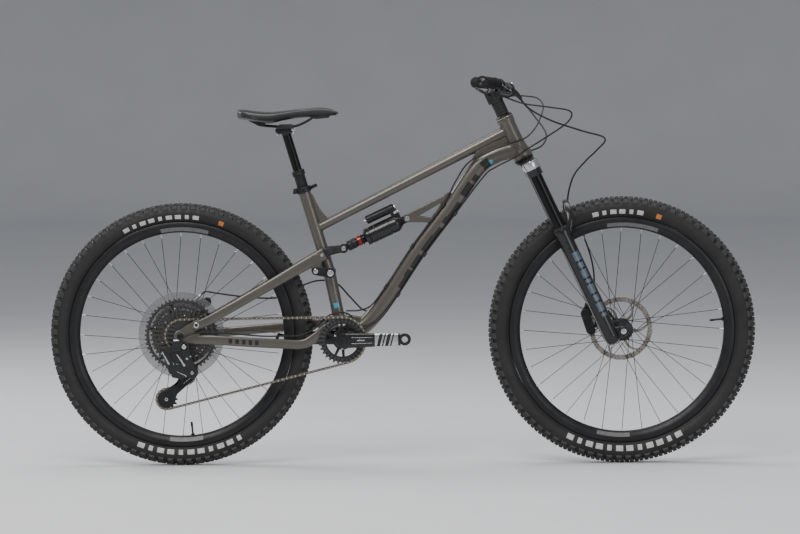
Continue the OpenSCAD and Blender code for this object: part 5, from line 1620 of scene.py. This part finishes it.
def build_crank_arms():
    tips = {side: BB + (mount_point("pedal_hole_" + name) - BB) * (1, 0, 1)
            for side, name in ((-1, "right"), (1, "left"))}
    for side, name in ((-1, "right"), (1, "left")):
        tip = tips[side]
        d = unit(tip - BB)
        up = np.array([-d[2], 0, d[0]])
        mid_y = side * 71.5
        f = np.array([0, 0.08, 0.2, 0.45, 0.7, 0.86, 0.93])
        path = [BB + d * 175 * t + Y * mid_y for t in f]
        path = curve(path, 5)
        t = np.linalg.norm((path - BB) * (1, 0, 1), axis=1) / (175)
        height = np.interp(t, [0, 0.12, 0.3, 0.6, 0.85, 1], [21, 20.8, 19.8, 18.6, 17.4, 17])
        depth = np.interp(t, [0, 0.2, 1], [7.4, 7.2, 6.6])
        arm = swept(path, depth, height, Y, 40, power=0.5)
        eye = revolved([(7.2, 64.3), (15.8, 64.3), (17, 65.5), (17, 77.5), (15.8, 78.7), (9.4, 78.7), (9, 78),
                        (7.2, 78)], tip * (1, 0, 1), Y * side, 64)
        root = revolved([(0.1, 64), (19.6, 64), (21, 65.4), (21, 76.6), (19.4, 78.8), (12.6, 79), (12.2, 78),
                         (0.1, 78)], BB * (1, 0, 1), Y * side, 72, closed=False)
        collar = revolved([(12.1, 43.2), (17, 43.2), (17.4, 44), (19.6, 60), (20, 64.4), (12.1, 64.4)],
                          BB * (1, 0, 1), Y * side, 64)
        piece("crank_arm_" + name, join(arm, eye, root, collar), GLOSS, "crank",
              ("crank_" + name,), angle=38)
        cap = hexagon_bolt(BB * (1, 0, 1) + Y * side * 77.8, Y * side, 9.2, 1.6)
        piece("crank_bolt_" + name, cap, ANODISED, "crank")
        insert = revolved([(7.15, 64.2), (8.9, 64.2), (8.9, 78.3), (7.15, 78.3)], tip * (1, 0, 1), Y * side, 48)
        piece("pedal_thread_" + name, insert, SILVER, "crank")

        def on_arm(u, v, h, side=side, d=d, up=up):
            return BB * (1, 0, 1) + d * u + up * v + Y * side * h
        # A long pocket in the arm's face with pale lines along its edges, which are painted highlights standing for
        # reflections on the bevels, and a silver sleeve with dark strokes near the pedal.
        pocket = prism([(26, -7.5), (84, -6.6), (88, 0), (84, 6.6), (26, 7.5), (22, 0)], 77.0, 78.8, 0.3, on_arm)
        piece("crank_pocket_" + name, pocket, PAINT_DARK, "crank")
        # Pale lines along the pocket's two edges: painted highlights standing for reflections on the arm's bevels;
        # one more short pale stroke sits in the middle.
        painted_highlights_and_stroke = [prism([(26, v - 0.7), (84, v * 0.9 - 0.7), (84, v * 0.9 + 0.7), (26, v + 0.7)], 78.2, 79.05, 0.2,
                       on_arm) for v in (8.6, -8.6)]
        painted_highlights_and_stroke.append(prism([(40, -1.6), (62, -1.6), (64, 1.6), (42, 1.6)], 78.4, 79.0, 0.15, on_arm))
        u = np.linspace(91, 156, 12)
        along = [BB + d * k + Y * mid_y for k in u]
        thick = np.interp(u / 175, [0, 0.2, 1], [7.4, 7.2, 6.6]) + 0.35
        deep = np.interp(u / 175, [0, 0.12, 0.3, 0.6, 0.85, 1], [21, 20.8, 19.8, 18.6, 17.4, 17]) + 0.35
        sleeve = swept(along, thick, deep, Y, 40, power=0.5)
        # This piece is the printed sleeve together with the painted edge highlights.
        piece("crank_sleeve_and_painted_highlights_" + name, join(sleeve, *painted_highlights_and_stroke), SILVER if side < 0 else GREY_MARK, "crank")
        strokes = [prism([(k, -17), (k + w, -17), (k + w + 9, 17), (k + 9, 17)], 77.6, 79.35, 0.2, on_arm) for k,
                   w in ((96, 9), (110, 4), (119, 9), (133, 4))]
        piece("crank_strokes_" + name, join(*strokes), PAINT_DARK, "crank")


def build_chainring():
    spindle = along_y(BB, 12, -72, 72, 48)
    piece("crank_spindle", spindle, ANODISED, "crank")
    ring = tooth_ring(BB, 32, CHAIN_Y, 2.2, 46.5, narrow=0.1, tall=3.3)
    arms = [spoke_arm(BB, 20.2, 48.5, 2 * math.pi * k / 8 + 0.2 + (0.14 if k % 2 else -0.14), 4.2, 3.6,
                      CHAIN_Y - 1.5, CHAIN_Y + 1.5, 0.0, 0.5) for k in range(8)]
    inner = annulus(BB, 20.1, 27, CHAIN_Y - 2.2, CHAIN_Y + 2.2, 64, 0.6)
    lip = annulus(BB, 46, 49.5, CHAIN_Y - 1.6, CHAIN_Y + 1.6, 96, 0.5)
    piece("chainring_disc", join(ring, *arms, inner, lip), ANODISED, "crank", ("chainring",),
          angle=32)
    bolts = [hexagon_bolt(wheel_point(BB * (1, 0, 1), 23.6, 2 * math.pi * k / 3 + 0.5, CHAIN_Y - 2.0), -Y, 3.0, 1.2)
             for k in range(3)]
    piece("chainring_bolts", join(*bolts), SILVER, "crank")


def build_bottom_bracket():
    cups = both(revolved([(12.1, 36.5), (21.4, 36.5), (22.5, 37.4), (22.5, 41.8), (21.6, 43), (12.1, 43)],
                         BB * (1, 0, 1), Y, 64))
    piece("bb_cups", cups, ANODISED, "frame", ("bb_bearings",))


def build_main_pivot():
    axle = along_y(MAIN, 8, -44.4, 44.4, 40)
    heads = [hexagon_bolt(MAIN * (1, 0, 1) + Y * s * 44, Y * s, 11, 2.4) for s in (1, -1)]
    piece("main_pivot_bolts", join(axle, *heads), SILVER, "frame", ("main_pivot_axle",))


def mount_point(name):
    """Where the record puts a mount."""
    mount = [m for m in frame["record"]["mounts"] if m["name"] == name][0]
    return np.array(mount["pos_m"], float) / METRE


def chain_route():
    stops = [(BB, pitch_r(32), 1), (TENSION, pitch_r(14), 1), (GUIDE, pitch_r(12), -1), (REAR, pitch_r(22), 1)]

    def touch(a, b):
        d = (b[0] - a[0])[[0, 2]]
        return math.atan2(d[1], d[0]) + a[2] * math.acos((a[1] - a[2] * b[2] * b[1]) / np.linalg.norm(d))
    points = []
    for i, (c, r, s) in enumerate(stops):
        before, after = stops[i - 1], stops[(i + 1) % 4]
        leave = touch(stops[i], after)
        reach = touch(before, stops[i]) + (0 if before[2] == s else math.pi)
        turn = (s * (reach - leave)) % (2 * math.pi)
        for k in range(41):
            w = reach - s * turn * k / 40
            points.append((c[0] + r * math.cos(w), c[2] + r * math.sin(w)))
    route = np.array([(x, CHAIN_Y, z) for x, z in points])
    length = np.sum(np.linalg.norm(np.roll(route, -1, 0) - route, axis=1))
    count = int(round(length / PITCH / 2)) * 2
    return resampled(route, count, closed=True)


def build_chain():
    route = chain_route()
    plates, rollers = [], []
    n = len(route)
    for i in range(n):
        a, b = route[i], route[(i + 1) % n]
        d = unit(b - a)
        up = np.array([-d[2], 0, d[0]])
        gap = np.linalg.norm(b - a)
        outline = []
        for w in np.linspace(-2.2, 2.2, 9):
            outline.append((gap + 4.15 * math.cos(w), 4.15 * math.sin(w)))
        outline.append((gap / 2, 3.0))
        for w in np.linspace(math.pi - 2.2, math.pi + 2.2, 9):
            outline.append((4.15 * math.cos(w), 4.15 * math.sin(w)))
        outline.append((gap / 2, -3.0))
        low, high = (1.85, 2.6) if i % 2 else (1.2, 1.8)

        def put(u, v, h, a=a, d=d, up=up):
            return a + d * u + up * v + Y * h
        for s in (1, -1):
            y0, y1 = sorted((s * low, s * high))
            plates.append(prism(outline, y0, y1, 0.14, put))
        rollers.append(along_y(a, 3.85, CHAIN_Y - 1.15, CHAIN_Y + 1.15, 14))
        rollers.append(along_y(a, 1.75, CHAIN_Y - 2.75, CHAIN_Y + 2.75, 10, 0.25))
    start, end = (-0.225, CHAIN_Y * METRE, 0.36), (-0.55, CHAIN_Y * METRE, 0.36)
    for name, parts, mat in (("chain_plates", plates, CHAIN), ("chain_rollers", rollers, SILVER)):
        obj = piece(name, join(*parts), mat, None)
        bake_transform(obj)
        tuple(start)
        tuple(end)
        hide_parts("chain")


def build_derailleur_links():
    hang = HANGER * (1, 0, 1)
    cage = CAGE_PIVOT * (1, 0, 1)
    corner, elbow = at(-496, -24), at(-476, -80)
    outer = [link_plate(HANGER, 11, CAGE_PIVOT, 13, -98, -93.6, 1.4),
             link_plate(HANGER, 10, corner, 9, -97.8, -93.8, 1.4),
             link_plate(corner, 8.8, elbow, 9.8, -97.6, -94, 1.4),
             link_plate(elbow, 10, CAGE_PIVOT, 12.8, -97.9, -93.7, 1.4)]
    inner = [link_plate(HANGER, 9, CAGE_PIVOT, 11, -85.6, -82, 1.0)]
    knuckle = revolved([(0.1, 60.6), (12, 60.6), (14.6, 62), (16, 66), (16, 88), (15, 92), (11, 94.4), (0.1, 94.4)],
                       cage, -Y, 56, closed=False)
    boss = revolved([(0.1, 81.3), (9.6, 81.3), (11, 82.6), (11, 96), (9.6, 98), (0.1, 98)], hang, -Y, 48,
                    closed=False)
    web = prism([flat(at(*p)) for p in ((-450, -24), (-432, -20), (-418, -66), (-430, -76), (-446, -60))],
                -92, -86, 1.5)
    spec = [([(-486, -12), (-450, -14), (-436, -44), (-448, -62), (-470, -58), (-480, -34)], -94.6, -88),
            ([(-482, -66), (-450, -60), (-432, -84), (-448, -104), (-476, -98)], -99.2, -92),
            ([(-478, -2), (-462, 4), (-448, 2), (-446, -14), (-470, -16)], -99, -92)]
    panels = [prism([flat(at(*p)) for p in outline], y0, y1, 1.0) for outline, y0, y1 in spec]
    piece("derailleur_links", join(*outer, *inner, knuckle, boss, web, *panels), PLASTIC, "swingarm",
          ("derailleur_body",), angle=38)
    bolts = [hexagon_bolt(hang - Y * 97.8, -Y, 6.4, 2.2), hexagon_bolt(cage - Y * 97.4, -Y, 4.2, 1.6),
             hexagon_bolt(at(-434, -46, -97.8), -Y, 3.2, 1.4), hexagon_bolt(at(-424, -40, -97.6), -Y, 2.2, 1.2),
             rod(at(-626 + 170, 4, -94), at(-472, 5, -94), 3.2, 2.6, 18, 0.4)]
    # Three tapered silver strips on the outer links: painted highlights standing for the bright glints along the
    # links.
    for a, b, half in (((-503, -26), (-484, -62), 2.6), ((-462, -34), (-440, -66), 2.8),
                       ((-462, -82), (-436, -94), 1.4)):
        a, b = np.array(a, float), np.array(b, float)
        wide = unit(np.array([-(b - a)[1], (b - a)[0]])) * half
        corners = (a - wide * 0.5, b - wide, b + wide, a + wide * 0.5)
        bolts.append(prism([flat(at(*p)) for p in corners], -100, -97, 0.5))
    piece("derailleur_bolts_and_painted_highlights", join(*bolts), SILVER, "swingarm")


def build_derailleur_cage():
    plates = []
    for y0, y1 in ((-60, -57.8), (-43.4, -41.6)):
        plates.append(link_plate(CAGE_PIVOT, 13, GUIDE, 12, y0, y1, 0.5))
        for a, ra, b, rb in ((GUIDE, 11.5, at(-462, -122), 8.5), (at(-462, -122), 8.5, TENSION, 10.6)):
            plates.append(link_plate(a, ra, b, rb, y0 + 0.12, y1 - 0.12, 0.5))
    plates.append(link_plate(at(-462, -122), 8, TENSION, 23, -59.8, -58, 0.5, 24))
    plates.append(link_plate(at(-423, -106), 4.5, at(-470, -146), 5.5, -59.7, -58.2, 0.5))
    plates.append(link_plate(CAGE_PIVOT, 9, at(-423, -106), 5, -59.6, -58.4, 0.5))
    plates.append(link_plate(GUIDE, 4.5, TENSION, 4.5, -61.2, -59.6, 0.6))
    posts = [along_y(c, 3, -58.5, -42.5, 24) for c in (GUIDE, TENSION)]
    piece("derailleur_cage_plates", join(*plates), ANODISED, "cage", ("derailleur_cage",), angle=38)
    pins = [hexagon_bolt(c * (1, 0, 1) - Y * 59.8, -Y, 4.6, 1.6) for c in (GUIDE, TENSION)]
    piece("pulley_bolts", join(*pins, *posts), SILVER, "cage")
    for c, teeth, body, node, name in ((GUIDE, 12, "guide_wheel", "guide_pulley", "guide"),
                                       (TENSION, 14, "tension_wheel", "tension_pulley", "tension")):
        ring = tooth_ring(c, teeth, CHAIN_Y, 2.0, pitch_r(teeth) - 7, tall=3.4)
        r_in = pitch_r(teeth) - 7
        arms = [spoke_arm(c, 8, r_in + 1, 2 * math.pi * k / 5, 1.9, 2.4, CHAIN_Y - 0.85, CHAIN_Y + 0.85, 0, 0.2)
                for k in range(5)]
        hub = annulus(c, 3.2, 8.6, CHAIN_Y - 2.6, CHAIN_Y + 2.6, 40, 0.4)
        piece(name + "_wheel_teeth", join(ring, *arms, hub), PLASTIC, body, (node,), angle=32)


build_cassette()
build_crank_arms()
build_chainring()
build_bottom_bracket()
build_main_pivot()
build_chain()
build_derailleur_links()
build_derailleur_cage()


# ------------------------------------------------------------------ seat

COLLAR = SEAT_TOP + SEAT_DIR * 52
HEAD = SEAT_TOP + SEAT_DIR * 168
RAIL = [(-427, 24, 972), (-411, 24, 964), (-392, 23, 957), (-330, 22, 952.5), (-298, 21, 955), (-276, 18, 963),
        (-258, 14, 973), (-246, 12, 983)]
SADDLE = [(-461, 22, 1000, 980), (-454, 50, 1002, 975), (-435, 66, 1001, 972), (-405, 71, 997, 966),
          (-372, 66, 995, 962), (-335, 48, 998, 970), (-300, 34, 1002, 976), (-262, 26, 1006, 979),
          (-230, 22, 1007, 980), (-203, 19, 1003, 982), (-185, 14, 996, 984), (-178, 7, 991, 985)]


def post_turned(profile, origin, closed=False):
    return revolved(profile, origin, SEAT_DIR, 56, closed=closed)


def build_post_sleeve():
    outer = [(13.2, -150), (15.8, -150), (15.8, -15.5), (16.4, -14.6), (18.2, -14), (18.5, -13.2), (18.5, -9),
             (18.1, -8.4), (18.1, -7.6), (18.5, -7), (18.5, -1.2), (17.6, 0), (15.4, 0.8), (13.2, 0.8)]
    piece("post_sleeve", post_turned(outer, COLLAR, closed=True), ANODISED, "frame",
          ("seatpost_outer",))


def build_post_clamp():
    low = SEAT_TOP - SEAT_DIR * 13
    band = [(17.6, 0), (20.4, 0), (21, 0.8), (21, 14.2), (20.4, 15), (17.6, 15)]
    lip = [(16, 13), (21.6, 13), (22, 13.8), (21.4, 15.6), (16, 16)]
    mid = low + SEAT_DIR * 7
    back = np.array([-24, 0, -5])
    ears = prism([(-30, -11), (-17, -9), (-17, 6), (-29, 4)], -11, 11, 1.4,
                 lambda u, v, h: mid + np.array([u, h, v]))
    barrel = rod(mid + back - Y * 13, mid + back + Y * 13, 6, n=32, round_end=1)
    piece("clamp_band", join(post_turned(band, low, closed=True), post_turned(lip, low, closed=True), ears, barrel),
          ANODISED, "frame", ("seat_clamp",))
    lever = swept(curve([mid + np.array([14, 0, 4]), mid + np.array([22, -5, 8]), mid + np.array([30, -9, 12]),
                         mid + np.array([36, -13, 15])], 6), 3.4, 4.8, Y, 20, power=0.75)
    piece("clamp_lever", lever, ANODISED, "frame")


def build_post_head():
    head = [(0.1, -60 - 116), (13, -60 - 116), (13, -8), (14, -4), (14, 2), (12, 4), (0.1, 4)]
    piece("post_shaft", post_turned(head, HEAD), STANCHION, "seat", ("dropper_shaft",))
    cradle = prism([(-24, -6), (-16, -9), (16, -4), (26, 2), (26, 9), (18, 13), (-20, 11), (-28, 6), (-28, -2)],
                   -14.5, 14.5, 2, lambda u, v, h: HEAD + np.array([u, h, v]))
    jaws = prism([(-24, 6), (24, 8), (24, 15), (16, 19.5), (-16, 18.5), (-24, 14)], 15, 28.5, 2,
                 lambda u, v, h: HEAD + np.array([u, h, v]))
    barrel = along_y(HEAD - SEAT_DIR * 0, 13, -16.5, 16.5, 48, 1.4)
    piece("post_head", join(cradle, both(jaws), barrel), MATT_ALLOY, "seat")
    bolts = [rod(HEAD + np.array([x, 0, z0]), HEAD + np.array([x * 1.02, 0, z1]), 2.6, n=20, round_end=0.4) for x,
             z0, z1 in ((-22, -12, 12), (21, -8, 14))]
    bolts += [hexagon_bolt(HEAD + np.array([x, 0, z]), -Z, 4.6, 4.4) for x, z in ((-22, -7), (21, -3))]
    bolts += [along_y(HEAD + np.array([22, 0, 5]), 5.4, -16, 16, 28, 1)]
    piece("post_bolts", join(*bolts), SILVER, "seat")


def saddle_rows(spread, lift, drop, n, steps):
    """Rings round the saddle: spread, lift and drop change its width, top and bottom in mm."""
    s = curve([np.array(v, float) for v in SADDLE], steps)
    rings = []
    for x, half, top, bottom in s:
        top, bottom, half = top + lift, bottom + drop, half + spread
        mid, high = (top + bottom) / 2, (top - bottom) / 2
        along = (x + 461) / 283
        ring = []
        for k in range(n):
            w = 2 * math.pi * k / n
            c, h = math.cos(w), math.sin(w)
            y = half * math.copysign(abs(c) ** 0.72, c)
            z = mid + high * math.copysign(abs(h) ** (0.86 if h > 0 else 0.7), h)
            if h > 0:
                fall = (math.exp(-(y / 8.5) ** 2) * max(0.0, min(1.0, (along - 0.06) * 8))
                        * max(0.0, min(1.0, (0.86 - along) * 6)))
                z -= 3.0 * fall
                z -= 1.4 * math.exp(-((abs(y) - half * 0.82) / 3.2) ** 2) * (1 if half > 25 else 0)
            else:
                z += 0.22 * high * (abs(c) ** 2)
            ring.append(np.array([x, y, z]))
        rings.append(ring)
    return rings


def closed_rows(rings):
    n = len(rings[0])
    verts = [p for ring in rings for p in ring]
    faces = grid_faces(len(rings), n) + [tuple(range(n))[::-1], tuple((len(rings) - 1) * n + k for k in range(n))]
    return verts, faces


def build_saddle():
    cover = saddle_rows(0, 0, 3.5, 64, 8)
    pad = piece("saddle_pad", closed_rows(cover), SADDLE_SKIN, "seat", ("saddle",), angle=75)
    shell = saddle_rows(-2.6, -9, 0.0, 48, 6)
    piece("saddle_base", closed_rows(shell), SADDLE_SHELL, "seat", angle=70)
    # Stitched seams along both sides of the top.
    seams = []
    s = curve([np.array(v, float) for v in SADDLE], 8)
    for side in (-1, 1):
        path = []
        for row, ring in zip(s, cover):
            if -446 < row[0] < -196:
                target = side * row[1] * 0.8
                best = min((p for p in ring if p[2] > (row[2] + row[3]) / 2), key=lambda p: abs(p[1] - target))
                path.append(best + Z * 0.15)
        fine = resampled(np.array(path), 220)
        radii = [0.55 * (0.75 + 0.45 * abs(math.sin(math.pi * i / 3))) for i in range(len(fine))]
        seams.append(swept(fine, radii, radii, Y, 8))
    piece("saddle_seams", join(*seams), RUBBER, "seat", angle=60)
    path = curve([np.array(p, float) for p in RAIL], 10)
    rails = both(swept(path, 3.5, 3.5, Z, 20))
    piece("rails", rails, STANCHION, "seat", ("saddle_rails",))
    nose = prism([(-256, 976), (-240, 974), (-206, 977), (-200, 984), (-252, 986)], -16, 16, 2)
    tails = prism([(-436, 974), (-420, 966), (-400, 955), (-384, 953), (-384, 964), (-396, 972), (-424, 980)],
                  18, 30, 2)
    piece("rail_sockets", join(nose, both(tails)), SADDLE_SHELL, "seat")


# ------------------------------------------------------------------ hoses and cables

FRONT_HOSE = [[303, -177, 1054], [322, -168, 1040], [348, -154, 1004], [412, -134, 968], [500, -82, 938],
              [571, 0, 915], [548, 24, 880], [520, 40, 852], [484, 58, 805], [469, 70, 733], [490, 78, 690],
              [513, 82, 640], [530, 88, 595], [541, 95, 553], [545, 98, 505], [533, 97, 465], [519, 88, 440],
              [521, 66, 426]]
GEAR = [[272, -188, 1039], [292, -180, 1030], [340, -166, 1014], [410, -148, 1004], [468, -122, 992],
        [462, -92, 962], [401, -52, 918], [346, -40, 884], [313, -38, 862], [262, -33, 836], [229, -22, 810],
        [149, -21, 706], [62, -21, 592], [-13, -21, 479], [-61, -28, 415], [-100, -38, 392], [-128, -42, 400],
        [-148, -42, 424], [-176, -42.3, 432], [-214, -43, 420], [-246, -45, 388], [-290, -48, 368],
        [-345, -54, 367], [-400, -63, 368], [-498, -79, 378], [-560, -87, 380], [-600, -93, 374], [-626, -94, 358]]
DROPPER = [[272, 188, 1039], [296, 178, 1034], [328, 160, 1036], [362, 146, 1034], [388, 130, 1028],
           [402, 100, 1008], [394, 60, 978], [376, 6, 946], [346, -36, 918], [300, -42, 902], [248, -37, 882],
           [187, -25, 850], [149, -21, 795], [115, -21, 730], [28, -21, 616], [-47, -21, 503], [-86, -19, 452],
           [-120, -14, 436], [-160, -8, 434]]
REAR_HOSE = [[303, 177, 1054], [322, 174, 1042], [352, 167, 1012], [377, 150, 980], [409, 96, 930], [400, 66, 898],
             [368, 48, 882], [320, 40, 872], [262, 31, 858], [212, 28.5, 826], [132, 28.5, 716], [45, 28.5, 602],
             [-30, 30, 490], [-72, 34, 438], [-110, 42, 432], [-150, 52, 470], [-188, 56, 508], [-240, 57, 516],
             [-300, 54, 496], [-349, 50, 470], [-409, 50, 468], [-470, 52, 474], [-530, 61, 482], [-560, 66, 486],
             [-573, 66, 476]]


def hose(name, route, start, end, r, node, bodies):
    """One stretch of a hose, from route point start to end; given two bodies it is fixed in place, given one it
    rides on that body.
    """
    whole = curve(np.array(route, float), 8)
    path = whole[start * 8:end * 8 + 1]
    fine = resampled(path, max(40, int(np.sum(np.linalg.norm(path[1:] - path[:-1], axis=1)) / 6)))
    verts, faces = swept(fine, r, r, np.array([0, 0.1, 1]), 14)
    obj = piece(name, (verts, faces), HOSE_SKIN, None, angle=50)
    if len(bodies) == 2:
        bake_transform(obj)
    else:
        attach(obj, bodies[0])
    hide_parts(node)
    return fine


def build_hoses():
    hose("front_brake_line", FRONT_HOSE, 0, 17, 2.5, "front_brake_hose", ("steering", "fork_lower"))
    hose("gear_line_front", GEAR, 0, 11, 2.2, "gear_cable", ("steering", "frame"))
    hose("gear_line_rear", GEAR, 11, 27, 2.2, "gear_cable", ("frame", "swingarm"))
    hose("dropper_line_front", DROPPER, 0, 11, 2.2, "dropper_cable", ("steering", "frame"))
    hose("dropper_line_rear", DROPPER, 11, 18, 2.2, "dropper_cable", ("frame",))
    hose("rear_brake_line_front", REAR_HOSE, 0, 9, 2.5, "rear_brake_hose", ("steering", "frame"))
    hose("rear_brake_line_rear", REAR_HOSE, 9, 24, 2.5, "rear_brake_hose", ("frame", "swingarm"))


def build_hose_fittings():
    """Guides on the down tube, and clips and ferrules at the ends."""
    d = unit(at(140, 137) - at(302, 364))
    rings = []
    for x, y, z in ((115, -21, 730), (28, -21, 616), (-47, -21, 503), (149, -21, 706), (62, -21, 592),
                    (-13, -21, 479)):
        p = np.array([x, y, z])
        rings.append(revolved([(2.7, -7), (4.2, -7), (4.7, -6.4), (4.7, 6.4), (4.2, 7), (2.7, 7)], p, d, 28))
    for x, y, z in ((132, 28.5, 716), (45, 28.5, 602)):
        p = np.array([x, y, z])
        rings.append(revolved([(2.7, -6), (4.2, -6), (4.7, -5.4), (4.7, 5.4), (4.2, 6), (2.7, 6)], p, d, 28))
    piece("cable_guides", join(*rings), PLASTIC, "frame")
    ferrules = []
    for route, k, r in ((GEAR, 0, 3.0), (DROPPER, 0, 3.0), (FRONT_HOSE, 0, 3.6), (REAR_HOSE, 0, 3.6)):
        p, q = np.array(route[k], float), np.array(route[k + 1], float)
        ferrules.append(rod(p, p + unit(q - p) * 14, r, r * 0.9, 24, 0.5))
    # Long boots where the brake lines leave the levers.
    for route in (FRONT_HOSE, REAR_HOSE):
        line = curve(np.array(route[:3], float), 10)[:14]
        radii = [max(3.3, 7.6 - 0.34 * k) for k in range(len(line))]
        ferrules.append(swept(line, radii, radii, Y, 24))
    piece("line_ferrules", join(*ferrules), ANODISED, "steering")
    clip = revolved([(2.7, -5), (4.4, -5), (4.4, 5), (2.7, 5)], np.array([513, 82, 640]),
                    unit(np.array([530, 88, 595.0]) - np.array([490, 78, 690.0])), 28)
    piece("hose_clip", clip, PLASTIC, "fork_lower")


build_post_sleeve()
build_post_clamp()
build_post_head()
build_saddle()
build_hoses()
build_hose_fittings()


# ------------------------------------------------------------------ remaining CAD nodes, and the end

def dress_cad(names, mat):
    """CAD nodes whose shape stays get their finish and eased edges."""
    for name in names:
        obj = frame["nodes"][name]
        if obj.hide_render:
            continue
        weld = obj.modifiers.new("weld", "WELD")
        weld.merge_threshold = SAME_POINT
        soften(obj, 0.5)
        obj.data.materials.clear()
        obj.data.materials.append(mat)


SLOT_FINISH = {"frame_paint": PAINT, "fork_paint": GLOSS, "black_alloy": ANODISED, "black_plastic": PLASTIC,
               "tyre_rubber": RUBBER, "grip_rubber": GRIP_RUBBER, "hose_skin": HOSE_SKIN, "spoke_steel": SPOKE,
               "rotor_steel": ROTOR, "sprocket_steel": COG, "chain_steel": CHAIN, "bright_steel": SILVER,
               "saddle_cover": SADDLE_SKIN}
for entry in frame["record"]["subparts"]:
    dress_cad([entry["node"]], SLOT_FINISH[entry["material_slot"]])
